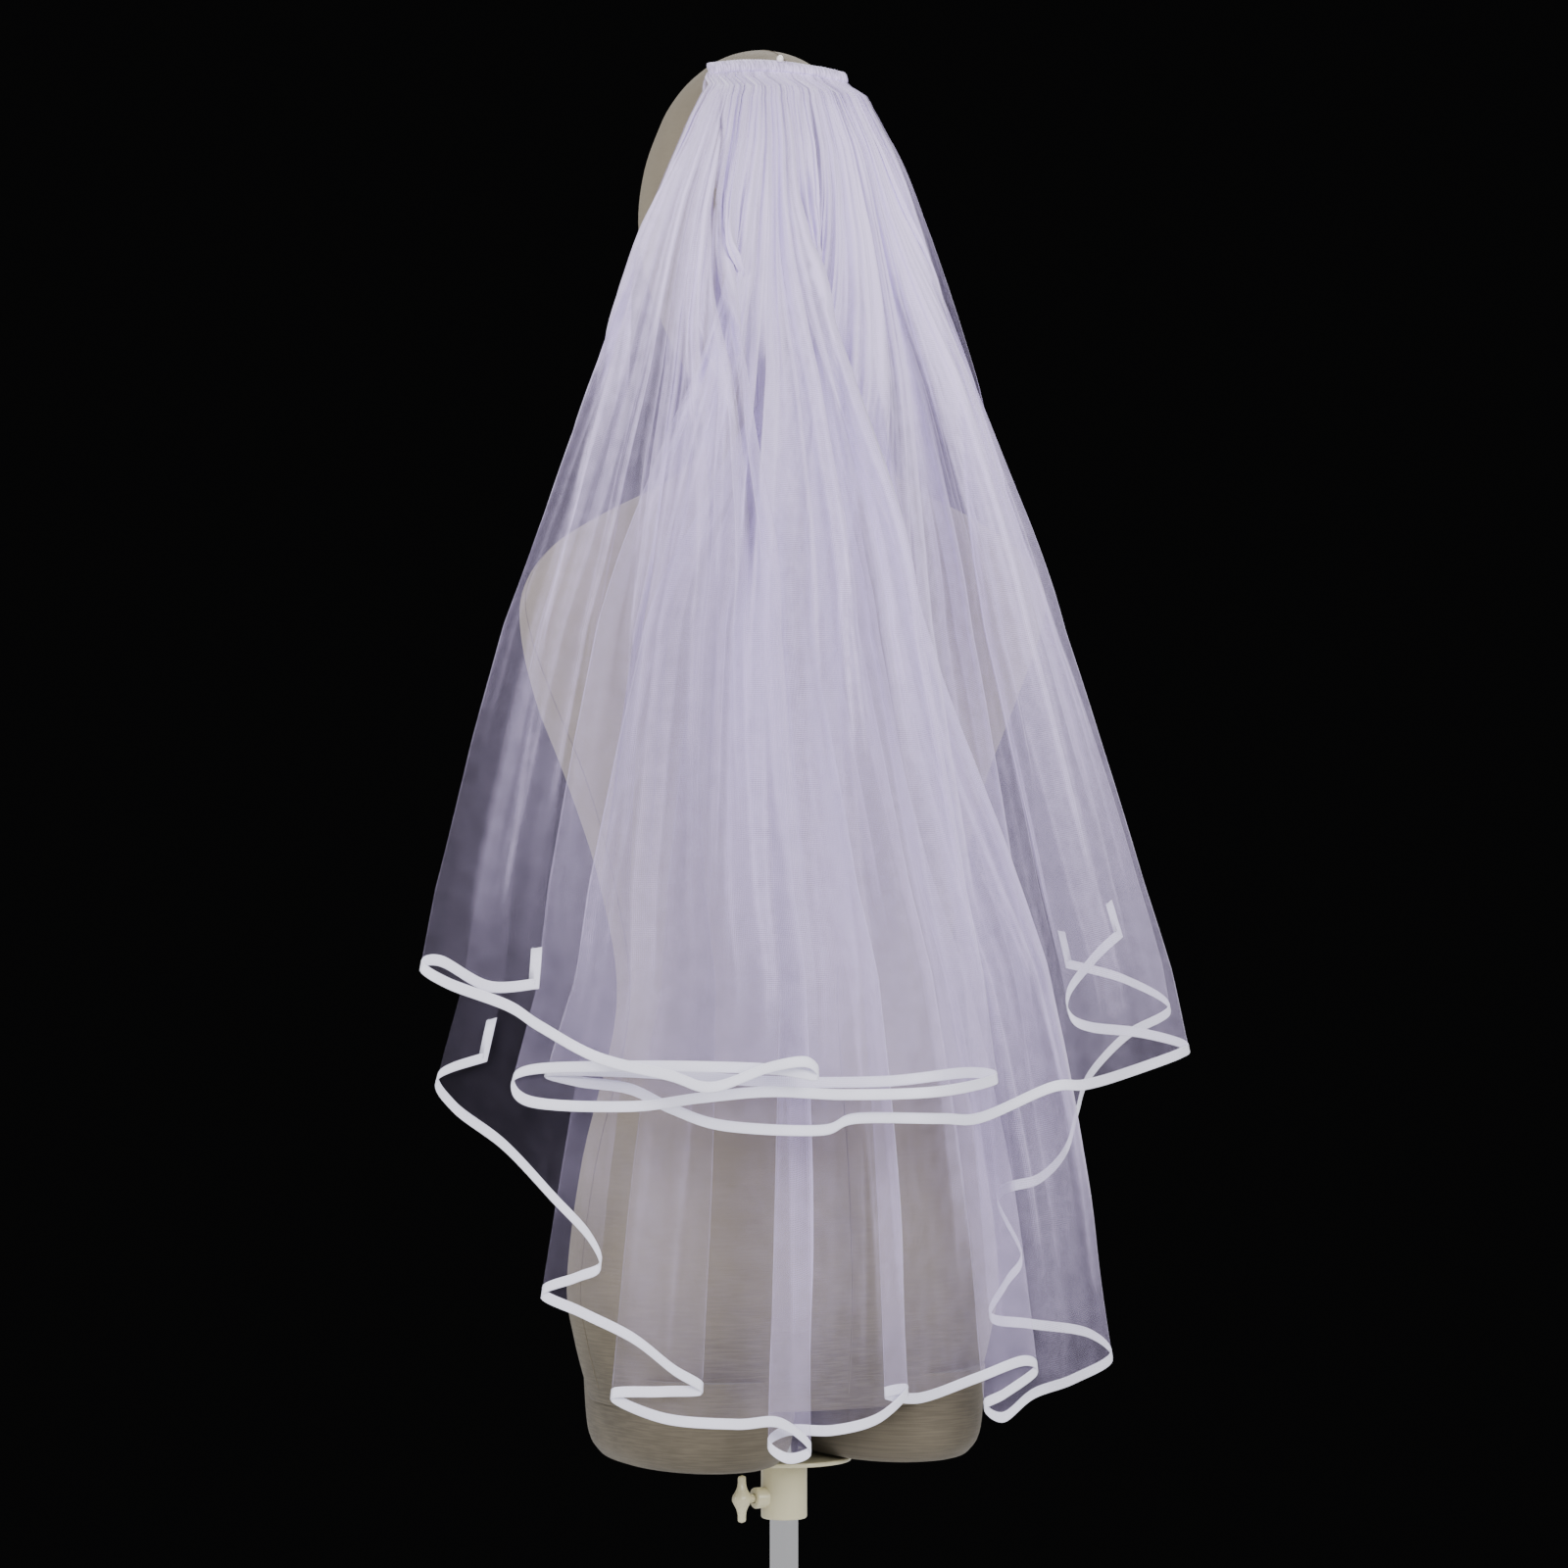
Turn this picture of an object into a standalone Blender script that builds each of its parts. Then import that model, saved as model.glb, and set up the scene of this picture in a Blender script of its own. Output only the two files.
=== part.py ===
"""Two-tier tulle bridal veil with ribbon-bound edges, worn by a limbless dress form on a stand.

Metres, +Z up. The form faces -Y and its left side is +X. The origin is the middle of the
underside of the round base. Cloth is a wall of one thickness through rings or sections.
"""

import math

import bmesh
import bpy
from mathutils import Vector

MM = 0.001

# Clearances and walls
SEAM = 0.3 * MM
TULLE_WALL = 1.0 * MM
RIBBON_WALL = 1.0 * MM
RIBBON_WIDTH = 7.0 * MM

# How finely the cloth is divided, along the edge and from the heading down
UPPER_COLUMNS = 96
LOWER_COLUMNS = 100
ROWS = 10
HEM_STEP = 7 * MM
SIDE_ROW = 8
ROW_GATHER = 1.45

# The side that the hem was measured from: behind the form, turned towards its left
SIGHT_TURN = math.radians(155.0)
SIGHT_DISTANCE = 3.4
SIGHT_HEIGHT = 1.2
ACROSS = Vector((math.cos(SIGHT_TURN), math.sin(SIGHT_TURN)))
TOWARDS = Vector((math.sin(SIGHT_TURN), -math.cos(SIGHT_TURN)))

# Stand
BASE_RADIUS = 170 * MM
BASE_THICK = 12 * MM
HUB_RADIUS = 30 * MM
HUB_TOP = 60 * MM
POLE_RADIUS = 9.5 * MM
POLE_TOP = 1.000
COLLAR_RADIUS = 15.5 * MM
COLLAR_BOTTOM = 0.706
COLLAR_TOP = 0.7449
FLANGE_RADIUS = 45.5 * MM
FLANGE_THICK = 3.0 * MM
FLANGE_TOP = 0.7482
POLE_PLAY = 0.5 * MM
SCREW_HEIGHT = 0.7205
SCREW_RADIUS = 3.0 * MM
BOSS_RADIUS = 7.0 * MM
BOSS_REACH = 23.0 * MM
WING_SPAN = 32 * MM
WING_DEPTH = 14 * MM
WING_THICK = 2.4 * MM

# Dress form: height, half width, half depth and how far forward each ring's middle lies
FORM_SIDES = 24
FORM_RINGS = [
    {"height": 0.790, "half_width": 134, "half_depth": 99, "forward": 0},
    {"height": 0.830, "half_width": 145, "half_depth": 104, "forward": 0},
    {"height": 0.870, "half_width": 150, "half_depth": 106, "forward": 0},
    {"height": 0.950, "half_width": 139, "half_depth": 100, "forward": 0},
    {"height": 1.050, "half_width": 115, "half_depth": 85, "forward": 1},
    {"height": 1.130, "half_width": 125, "half_depth": 90, "forward": 4},
    {"height": 1.200, "half_width": 146, "half_depth": 101, "forward": 10},
    {"height": 1.255, "half_width": 170, "half_depth": 101, "forward": 9},
    {"height": 1.300, "half_width": 186, "half_depth": 92, "forward": 0},
    {"height": 1.330, "half_width": 188, "half_depth": 80, "forward": -8},
    {"height": 1.357, "half_width": 170, "half_depth": 69, "forward": -12},
    {"height": 1.380, "half_width": 132, "half_depth": 61, "forward": -11},
    {"height": 1.400, "half_width": 89, "half_depth": 56, "forward": -7},
    {"height": 1.420, "half_width": 60, "half_depth": 53, "forward": 0},
    {"height": 1.445, "half_width": 50, "half_depth": 52, "forward": 7},
    {"height": 1.472, "half_width": 52, "half_depth": 58, "forward": 19},
    {"height": 1.505, "half_width": 60, "half_depth": 76, "forward": 34},
    {"height": 1.545, "half_width": 71, "half_depth": 91, "forward": 41},
    {"height": 1.584, "half_width": 76, "half_depth": 97, "forward": 42},
    {"height": 1.620, "half_width": 72, "half_depth": 92, "forward": 42},
    {"height": 1.650, "half_width": 62, "half_depth": 79, "forward": 42},
    {"height": 1.664, "half_width": 55, "half_depth": 70, "forward": 42},
    {"height": 1.675, "half_width": 47, "half_depth": 60, "forward": 42},
    {"height": 1.683, "half_width": 39, "half_depth": 50, "forward": 42},
    {"height": 1.690, "half_width": 30, "half_depth": 38, "forward": 42},
    {"height": 1.695, "half_width": 20, "half_depth": 25, "forward": 42},
    {"height": 1.698, "half_width": 9, "half_depth": 11, "forward": 42},
]
FORM_CROWN = 1.699
STUMP_SIDES = 16
STUMP_OUT = 70 * MM
STUMP_RINGS = [
    {"height": 0.7485, "half_width": 42, "half_depth": 70},
    {"height": 0.7530, "half_width": 53, "half_depth": 84},
    {"height": 0.7680, "half_width": 60, "half_depth": 93},
    {"height": 0.8100, "half_width": 63, "half_depth": 96},
]
BORE_RADIUS = 11.5 * MM
BORE_TOP = 1.200

# Crown seat of the comb: a plane that rests on the head behind its top
SEAT_SIDE = 17 * MM
SEAT_BACK = 14 * MM
SEAT_HEIGHT = 1.6787
SEAT_SLOPE = math.radians(40.0)
SEAT_ARCH = 9 * MM
SEAT_ROUND = 95 * MM
HEADING_HALF = 50 * MM
COMB_THICK = 1.2 * MM
COMB_LIFT = 0.3 * MM
COMB_BAR = 6 * MM
COMB_TOOTH = 20 * MM
COMB_TEETH = 13
BAND_DEEP = 11 * MM
BAND_THICK = 6 * MM
BAND_START = -2 * MM
BAND_LIFT = COMB_LIFT + COMB_THICK + SEAM
BAND_RUCKS = 24
PIN_HEAD_RADIUS = 2.4 * MM
PIN_SINK = 0.9 * MM
PIN_SIDE = -4 * MM

# How far behind the pole each tier may lie at each height, its inner and its outer limit
DRAPE = [
    {"height": 1.677, "lower_in": 24.0, "lower_out": 25.0, "upper_in": 27.5, "upper_out": 28.5},
    {"height": 1.664, "lower_in": 41, "lower_out": 46, "upper_in": 50, "upper_out": 59},
    {"height": 1.640, "lower_in": 54, "lower_out": 66, "upper_in": 70, "upper_out": 87},
    {"height": 1.600, "lower_in": 62, "lower_out": 82, "upper_in": 87, "upper_out": 111},
    {"height": 1.500, "lower_in": 68, "lower_out": 97, "upper_in": 102, "upper_out": 138},
    {"height": 1.400, "lower_in": 82, "lower_out": 117, "upper_in": 122.5, "upper_out": 164},
    {"height": 1.300, "lower_in": 101, "lower_out": 140, "upper_in": 146, "upper_out": 190},
    {"height": 1.150, "lower_in": 108, "lower_out": 160, "upper_in": 166, "upper_out": 218},
    {"height": 1.000, "lower_in": 112, "lower_out": 180, "upper_in": 186, "upper_out": 246},
    {"height": 0.740, "lower_in": 114, "lower_out": 214, "upper_in": 220, "upper_out": 270},
]
WRAP_DEPTH = 78 * MM
WRAP_REACH = 270 * MM

# The edge of each tier, a row for each turn or bend of a fold, from the form's left to its
# right. Across and height are seen sizes in mm at the pole's distance. Layer is the share of
# the tier's depth, from 0 next to the form to 1 outermost.
UPPER_EDGE = [
    {"across": -165, "height": 1062, "layer": 0.88},
    {"across": -200, "height": 1060, "layer": 0.90},
    {"across": -230, "height": 1077, "layer": 0.925},
    {"across": -244, "height": 1074, "layer": 0.96},
    {"across": -227, "height": 1062, "layer": 1},
    {"across": -187, "height": 1047, "layer": 0.99},
    {"across": -165, "height": 1033, "layer": 0.98},
    {"across": -126, "height": 1012, "layer": 0.97},
    {"across": -78, "height": 1000, "layer": 0.96},
    {"across": -49, "height": 992, "layer": 0.95},
    {"across": -11, "height": 1005, "layer": 0.92},
    {"across": 15, "height": 1009, "layer": 0.87},
    {"across": 22, "height": 1000, "layer": 0.81},
    {"across": -6, "height": 1004, "layer": 0.77},
    {"across": -65, "height": 1006, "layer": 0.75},
    {"across": -125, "height": 1006, "layer": 0.72},
    {"across": -171, "height": 1004, "layer": 0.67},
    {"across": -184, "height": 996, "layer": 0.62},
    {"across": -170, "height": 982, "layer": 0.57},
    {"across": -105, "height": 979, "layer": 0.55},
    {"across": -55, "height": 985, "layer": 0.53},
    {"across": -9, "height": 989, "layer": 0.52},
    {"across": 42, "height": 987, "layer": 0.5},
    {"across": 102, "height": 989, "layer": 0.48},
    {"across": 143, "height": 998, "layer": 0.43},
    {"across": 123, "height": 1002, "layer": 0.38},
    {"across": 67, "height": 996, "layer": 0.36},
    {"across": -13, "height": 996, "layer": 0.34},
    {"across": -98, "height": 1002, "layer": 0.32},
    {"across": -160, "height": 1003, "layer": 0.27},
    {"across": -139, "height": 996, "layer": 0.23},
    {"across": -105, "height": 991, "layer": 0.22},
    {"across": -75, "height": 977, "layer": 0.215},
    {"across": -40, "height": 966, "layer": 0.21},
    {"across": 24, "height": 963, "layer": 0.2},
    {"across": 48, "height": 971, "layer": 0.195},
    {"across": 104, "height": 971, "layer": 0.19},
    {"across": 133, "height": 972, "layer": 0.185},
    {"across": 180, "height": 992, "layer": 0.18},
    {"across": 202, "height": 994, "layer": 0.175},
    {"across": 230, "height": 1002, "layer": 0.17},
    {"across": 266, "height": 1015, "layer": 0.15},
    {"across": 270, "height": 1021, "layer": 0.10},
    {"across": 240, "height": 1029, "layer": 0.04},
    {"across": 205, "height": 1033, "layer": 0},
    {"across": 192, "height": 1041, "layer": -0.03},
    {"across": 192, "height": 1058, "layer": -0.055},
    {"across": 210, "height": 1080, "layer": -0.08},
    {"across": 230, "height": 1097, "layer": -0.1},
]
LOWER_EDGE = [
    {"across": -200, "height": 1013, "layer": 1},
    {"across": -234, "height": 1000, "layer": 0.95},
    {"across": -223, "height": 979, "layer": 0.91},
    {"across": -189, "height": 953, "layer": 0.9},
    {"across": -156, "height": 918, "layer": 0.89},
    {"across": -132, "height": 892, "layer": 0.885},
    {"across": -124, "height": 872, "layer": 0.84},
    {"across": -140, "height": 864, "layer": 0.78},
    {"across": -164, "height": 854, "layer": 0.74},
    {"across": -136, "height": 840, "layer": 0.72},
    {"across": -102, "height": 823, "layer": 0.71},
    {"across": -75, "height": 802, "layer": 0.69},
    {"across": -55, "height": 789, "layer": 0.65},
    {"across": -81, "height": 787, "layer": 0.61},
    {"across": -117, "height": 785, "layer": 0.57},
    {"across": -81, "height": 769, "layer": 0.54},
    {"across": -33, "height": 765, "layer": 0.53},
    {"across": -3, "height": 766, "layer": 0.51},
    {"across": 18, "height": 749, "layer": 0.47},
    {"across": 3, "height": 742, "layer": 0.43},
    {"across": -11, "height": 752, "layer": 0.39},
    {"across": 3, "height": 761, "layer": 0.35},
    {"across": 33, "height": 761, "layer": 0.345},
    {"across": 63, "height": 769, "layer": 0.33},
    {"across": 83, "height": 788, "layer": 0.295},
    {"across": 67, "height": 786, "layer": 0.26},
    {"across": 91, "height": 783, "layer": 0.245},
    {"across": 129, "height": 796, "layer": 0.24},
    {"across": 161, "height": 808, "layer": 0.235},
    {"across": 170, "height": 802, "layer": 0.21},
    {"across": 149, "height": 786, "layer": 0.185},
    {"across": 135, "height": 778, "layer": 0.16},
    {"across": 148, "height": 770, "layer": 0.14},
    {"across": 168, "height": 786, "layer": 0.135},
    {"across": 195, "height": 796, "layer": 0.13},
    {"across": 221, "height": 811, "layer": 0.09},
    {"across": 205, "height": 827, "layer": 0.035},
    {"across": 166, "height": 833, "layer": -0.01},
    {"across": 139, "height": 838, "layer": -0.035},
    {"across": 150, "height": 861, "layer": -0.06},
    {"across": 160, "height": 880, "layer": -0.07},
    {"across": 144, "height": 919, "layer": -0.11},
    {"across": 172, "height": 931, "layer": -0.14},
    {"across": 190, "height": 950, "layer": -0.15},
    {"across": 198, "height": 977, "layer": -0.16},
    {"across": 206, "height": 1000, "layer": -0.17},
    {"across": 231, "height": 1027, "layer": -0.19},
    {"across": 261, "height": 1046, "layer": -0.23},
    {"across": 231, "height": 1065, "layer": -0.28},
    {"across": 190, "height": 1076, "layer": -0.31},
]

# Where on the drop the turns of each tier's folds begin, and where they have their full width
FOLD_BEGIN = {"upper": 0.16, "lower": 0.50}
FOLD_FULL = {"upper": 0.52, "lower": 0.95}

# How much wider than a straight cone the veil is on the form's left and right
BULGE_LEFT = 0.13
BULGE_RIGHT = 0.05

# How far both tiers hang over to the form's left at each height, in mm
SWAY = [
    {"height": 1.677, "side": 0},
    {"height": 1.664, "side": 2},
    {"height": 1.650, "side": 8},
    {"height": 1.629, "side": 12},
    {"height": 1.603, "side": 14},
    {"height": 1.575, "side": 15},
    {"height": 1.544, "side": 14},
    {"height": 1.507, "side": 12},
    {"height": 1.464, "side": 10},
    {"height": 1.371, "side": 12},
    {"height": 1.299, "side": 16},
    {"height": 1.227, "side": 13},
    {"height": 1.134, "side": 7},
    {"height": 1.075, "side": 0},
]

# Soft folds that run down both tiers together and fan out from the heading
FAN_REACH_TOP = 58 * MM
FAN_REACH_HEM = 290 * MM
FAN_DROP = 0.68
FAN_FOLDS = [
    {"waves": 3.4, "phase": 0.6, "share": 0.55},
    {"waves": 5.3, "phase": 2.1, "share": 0.45},
]
FAN_DEPTH = 15 * MM

# Colours and finishes
FINISHES = {
    "tulle": {"colour": (0.86, 0.85, 0.92), "roughness": 0.75, "metallic": 0.0},
    "ribbon": {"colour": (0.95, 0.95, 0.98), "roughness": 0.35, "metallic": 0.0},
    "canvas": {"colour": (0.60, 0.54, 0.41), "roughness": 0.90, "metallic": 0.0},
    "paint": {"colour": (0.80, 0.77, 0.60), "roughness": 0.35, "metallic": 0.0},
    "chrome": {"colour": (0.75, 0.76, 0.78), "roughness": 0.12, "metallic": 1.0},
    "comb": {"colour": (0.85, 0.85, 0.85), "roughness": 0.30, "metallic": 0.0},
    "pearl": {"colour": (0.90, 0.88, 0.85), "roughness": 0.20, "metallic": 0.0},
}


def clear_scene():
    for thing in list(bpy.data.objects):
        bpy.data.objects.remove(thing, do_unlink=True)


def new_collection(name):
    group = bpy.data.collections.new(name)
    bpy.context.scene.collection.children.link(group)
    return group


def new_finish(name):
    values = FINISHES[name]
    finish = bpy.data.materials.new(name)
    finish.use_nodes = True
    shader = finish.node_tree.nodes["Principled BSDF"]
    shader.inputs["Base Color"].default_value = (*values["colour"], 1.0)
    shader.inputs["Roughness"].default_value = values["roughness"]
    shader.inputs["Metallic"].default_value = values["metallic"]
    return finish


def add_piece(name, mesh_bm, group, finish, smooth_angle=40.0):
    mesh = bpy.data.meshes.new(name)
    mesh_bm.to_mesh(mesh)
    mesh_bm.free()
    piece = bpy.data.objects.new(name, mesh)
    group.objects.link(piece)
    mesh.materials.append(finish)
    mesh.shade_smooth()
    mesh.set_sharp_from_angle(angle=math.radians(smooth_angle))
    return piece


def smooth_curve(rows, keys, at):
    """A point at the position at, in rows, on a smooth curve through a table's rows."""
    last = len(rows) - 1
    at = min(max(at, 0.0), last)
    first = min(int(at), last - 1)
    t = at - first
    picked = []
    for step in (-1, 0, 1, 2):
        picked.append(rows[min(max(first + step, 0), last)])
    values = []
    for key in keys:
        a, b, c, d = (row[key] for row in picked)
        bend = (2 * b, c - a, 2 * a - 5 * b + 4 * c - d, 3 * b - a - 3 * c + d)
        values.append(0.5 * (bend[0] + bend[1] * t + bend[2] * t * t + bend[3] * t ** 3))
    return values


def by_height(rows, height, keys):
    """Straight steps between a table's rows, whose heights fall."""
    if height >= rows[0]["height"]:
        return [rows[0][key] for key in keys]
    for above, below in zip(rows, rows[1:]):
        if height >= below["height"]:
            t = (above["height"] - height) / (above["height"] - below["height"])
            t = t * t * (3 - 2 * t) * 0.35 + t * 0.65
            return [above[key] + (below[key] - above[key]) * t for key in keys]
    return [rows[-1][key] for key in keys]


def spread(s, bulge=0.10):
    """How much of its final width the veil has at the share s of its drop."""
    return s + bulge * math.sin(math.pi * s ** 0.7)


def seat_point(side, down, lift):
    """A point on the comb's seat: to the side, down its slope, and off the head."""
    lift = lift - down * abs(down) / (2 * SEAT_ROUND)
    down = down + SEAT_ARCH * (side / HEADING_HALF) ** 2
    back = SEAT_BACK + down * math.cos(SEAT_SLOPE) + lift * math.sin(SEAT_SLOPE)
    height = SEAT_HEIGHT - down * math.sin(SEAT_SLOPE) + lift * math.cos(SEAT_SLOPE)
    return Vector((SEAT_SIDE + side, back, height))


def fan_fold(side, height):
    """How far the fanned folds push both tiers back at one place, less their wrap forward."""
    drop = min(max((DRAPE[0]["height"] - height) / FAN_DROP, 0.0), 1.35)
    reach = FAN_REACH_TOP + (FAN_REACH_HEM - FAN_REACH_TOP) * spread(min(drop, 1.0))
    wave = 0.0
    for fold in FAN_FOLDS:
        wave += fold["share"] * math.sin(math.pi * fold["waves"] * side / reach + fold["phase"])
    rise = min(drop / 0.35, 1.0)
    wrap = WRAP_DEPTH * min(drop, 1.0) * (side / WRAP_REACH) ** 2
    return FAN_DEPTH * rise * (0.5 + 0.5 * wave) - wrap


def place_edge(across, height, layer, tier):
    """World place of a point of a tier's edge from its seen sizes."""
    depth = 0.15
    side = -across * MM
    for _ in range(8):
        scale = 1.0 - depth / SIGHT_DISTANCE
        seen = across * MM * scale
        level = SIGHT_HEIGHT + (height * MM - SIGHT_HEIGHT) * scale
        near, far = by_height(DRAPE, level, (tier + "_in", tier + "_out"))
        back = (near + (far - near) * layer) * MM + fan_fold(side, level)
        side = 0.5 * side + 0.5 * (back * ACROSS.y - seen) / -ACROSS.x
        depth = side * TOWARDS.x + back * TOWARDS.y
    return side, level


def edge_stations(table, tier, columns):
    """Evenly spaced stations along a tier's edge: side, height and layer."""
    fine = []
    steps = 12 * (len(table) - 1)
    for i in range(steps + 1):
        across, height, layer = smooth_curve(table, ("across", "height", "layer"), i / 12)
        side, level = place_edge(across, height, layer, tier)
        near, far = by_height(DRAPE, level, (tier + "_in", tier + "_out"))
        back = (near + (far - near) * layer) * MM
        fine.append((side, level, layer, Vector((side, back, level))))
    lengths = [0.0]
    for a, b in zip(fine, fine[1:]):
        lengths.append(lengths[-1] + (b[3] - a[3]).length)
    stations = []
    k = 0
    for i in range(columns):
        want = lengths[-1] * i / (columns - 1)
        while k < len(lengths) - 2 and lengths[k + 1] < want:
            k += 1
        t = (want - lengths[k]) / (lengths[k + 1] - lengths[k])
        a, b = fine[k], fine[k + 1]
        stations.append([a[n] + (b[n] - a[n]) * t for n in range(3)])
    widest = max(station[0] for station in stations)
    farthest = min(station[0] for station in stations)
    for i, station in enumerate(stations):
        station.append(widest + (farthest - widest) * i / (columns - 1))
    return stations


def drape_point(stations, i, s, tier, top_lift):
    """A point of a tier: column i, at the share s of its drop."""
    share = i / (len(stations) - 1)
    side_hem, level_hem, layer, _ = stations[i]
    side_top = HEADING_HALF * (1.0 - 2.0 * share) * 0.98
    top = seat_point(side_top, BAND_START + BAND_DEEP + SEAM, top_lift)
    level = top.z + (level_hem - top.z) * s
    width = spread(s, BULGE_LEFT + (BULGE_RIGHT - BULGE_LEFT) * share)
    mean = stations[0][3] + (stations[-1][3] - stations[0][3]) * share
    turn = min(max((s - FOLD_BEGIN[tier]) / (FOLD_FULL[tier] - FOLD_BEGIN[tier]), 0.0), 1.0)
    turn = turn * turn * (3.0 - 2.0 * turn)
    side = top.x + (mean - top.x) * width + (side_hem - mean) * width * turn
    side += by_height(SWAY, level, ("side",))[0] * MM
    near, far = by_height(DRAPE, level, (tier + "_in", tier + "_out"))
    back = (near + (far - near) * layer) * MM + fan_fold(side, level)
    settle = min(s / 0.02, 1.0)
    return Vector((side, top.y + (back - top.y) * settle, level))


def tier_sections(table, tier, columns, top_lift):
    stations = edge_stations(table, tier, columns)
    shares = [(j / (ROWS - 1)) ** ROW_GATHER for j in range(ROWS)]
    return [[drape_point(stations, i, s, tier, top_lift) for i in range(columns)] for s in shares]


def grid_surface(rows):
    """An open surface through rows of points."""
    bm = bmesh.new()
    lines = [[bm.verts.new(point) for point in row] for row in rows]
    for upper, lower in zip(lines, lines[1:]):
        for i in range(len(upper) - 1):
            bm.faces.new((upper[i], lower[i], lower[i + 1], upper[i + 1]))
    return bm


def add_wall(piece, thickness):
    wall = piece.modifiers.new("wall", "SOLIDIFY")
    wall.thickness = thickness
    wall.offset = 0.0
    wall.use_even_offset = False
    wall.use_quality_normals = True
    return wall


def hem_frame(rows, i):
    """The direction up the cloth at a hem point, and the gap that keeps its seam open there."""
    hem = rows[-1]
    up = (rows[-2][i] - hem[i]).normalized()
    runs = [(hem[n] - hem[i]).normalized() for n in (i - 1, i + 1) if 0 <= n < len(hem)]
    slant = min(math.sqrt(max(1.0 - up.dot(run) ** 2, 0.06)) for run in runs)
    return up, SEAM * 1.9 / slant ** 2


def inset(edge, inside, gap):
    """A side edge's point moved into the cloth by the ribbon's width and a gap."""
    run = inside - edge
    width = min(RIBBON_WIDTH, 0.5 * run.length)
    return edge + run.normalized() * (width + gap)


def trimmed(rows):
    """The tulle's own part of a tier: its edges stand back by the ribbon's width."""
    cut = [list(row) for row in rows[:-1]]
    for above in (HEM_STEP, 0.0):
        row = []
        for i, foot in enumerate(rows[-1]):
            up, gap = hem_frame(rows, i)
            row.append(foot + up * (RIBBON_WIDTH + gap + above))
        cut.append(row)
    for row in cut[SIDE_ROW:]:
        row[0] = inset(row[0], row[1], 3 * SEAM)
        row[-1] = inset(row[-1], row[-2], 3 * SEAM)
    return cut


def add_tier(name, table, tier, columns, top_lift, group, finish):
    rows = tier_sections(table, tier, columns, top_lift)
    bm = grid_surface(trimmed(rows))
    piece = add_piece(name, bm, group, finish, 60.0)
    add_wall(piece, TULLE_WALL)
    return piece, rows


def edging_pairs(rows):
    """Inner and outer points of the ribbon: down one side edge, along the hem, up the other."""
    sides = rows[SIDE_ROW:-1]
    pairs = [(inset(row[0], row[1], 0.0), row[0]) for row in sides]
    hem = rows[-1]
    for i, foot in enumerate(hem):
        up, _ = hem_frame(rows, i)
        inner = foot + up * RIBBON_WIDTH
        if i == 0:
            inner = inset(inner, hem[1] + up * RIBBON_WIDTH, 0.0)
        if i == len(hem) - 1:
            inner = inset(inner, hem[-2] + up * RIBBON_WIDTH, 0.0)
        pairs.append((inner, foot))
    for row in reversed(sides):
        pairs.append((inset(row[-1], row[-2], 0.0), row[-1]))
    return pairs


def add_edging(name, rows, group, finish):
    pairs = edging_pairs(rows)
    bm = grid_surface([[pair[0] for pair in pairs], [pair[1] for pair in pairs]])
    piece = add_piece(name, bm, group, finish, 60.0)
    add_wall(piece, RIBBON_WALL)
    return piece


def ring_points(ring, sides, middle_x=0.0):
    points = []
    for k in range(sides):
        turn = 2 * math.pi * k / sides
        c, s = math.cos(turn), math.sin(turn)
        x = middle_x + ring["half_width"] * MM * math.copysign(abs(c) ** 0.92, c)
        y = ring["half_depth"] * MM * math.copysign(abs(s) ** 0.92, s) - ring.get("forward", 0) * MM
        points.append(Vector((x, y, ring["height"])))
    return points


def ring_loft(rings, tip=None):
    """A closed body through rings from the lowest up, capped flat or drawn to a tip."""
    bm = bmesh.new()
    loops = [[bm.verts.new(point) for point in ring] for ring in rings]
    count = len(loops[0])
    for below, above in zip(loops, loops[1:]):
        for k in range(count):
            n = (k + 1) % count
            bm.faces.new((below[k], below[n], above[n], above[k]))
    bm.faces.new(list(reversed(loops[0])))
    if tip is None:
        bm.faces.new(loops[-1])
    else:
        point = bm.verts.new(tip)
        for k in range(count):
            bm.faces.new((loops[-1][k], loops[-1][(k + 1) % count], point))
    bmesh.ops.triangulate(bm, faces=[face for face in bm.faces if len(face.verts) > 4])
    bmesh.ops.recalc_face_normals(bm, faces=bm.faces)
    return bm


def cut_or_join(piece, other, operation):
    change = piece.modifiers.new(other.name, "BOOLEAN")
    change.operation = operation
    change.object = other
    change.solver = "EXACT"


def hide_cutter(piece, cutters):
    for group in list(piece.users_collection):
        group.objects.unlink(piece)
    cutters.objects.link(piece)
    piece.hide_render = True
    piece.display_type = "WIRE"


def cylinder(radius, low, high, sides, middle=(0.0, 0.0)):
    bm = bmesh.new()
    bmesh.ops.create_cone(bm, cap_ends=True, segments=sides, radius1=radius, radius2=radius,
                          depth=high - low)
    bmesh.ops.translate(bm, verts=bm.verts, vec=(middle[0], middle[1], (low + high) / 2))
    return bm


def add_form(group, cutters, finish):
    tip = Vector((0.0, -FORM_RINGS[-1]["forward"] * MM, FORM_CROWN))
    body = ring_loft([ring_points(ring, FORM_SIDES) for ring in FORM_RINGS], tip)
    form = add_piece("dress_form", body, group, finish, 50.0)
    for side_name, side in (("left", 1), ("right", -1)):
        rings = [ring_points(ring, STUMP_SIDES, side * STUMP_OUT) for ring in STUMP_RINGS]
        stump = add_piece("stump_" + side_name, ring_loft(rings), cutters, finish)
        hide_cutter(stump, cutters)
        cut_or_join(form, stump, "UNION")
    bore = add_piece("pole_bore", cylinder(BORE_RADIUS, 0.70, BORE_TOP, 20), cutters, finish)
    hide_cutter(bore, cutters)
    cut_or_join(form, bore, "DIFFERENCE")
    return form


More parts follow.
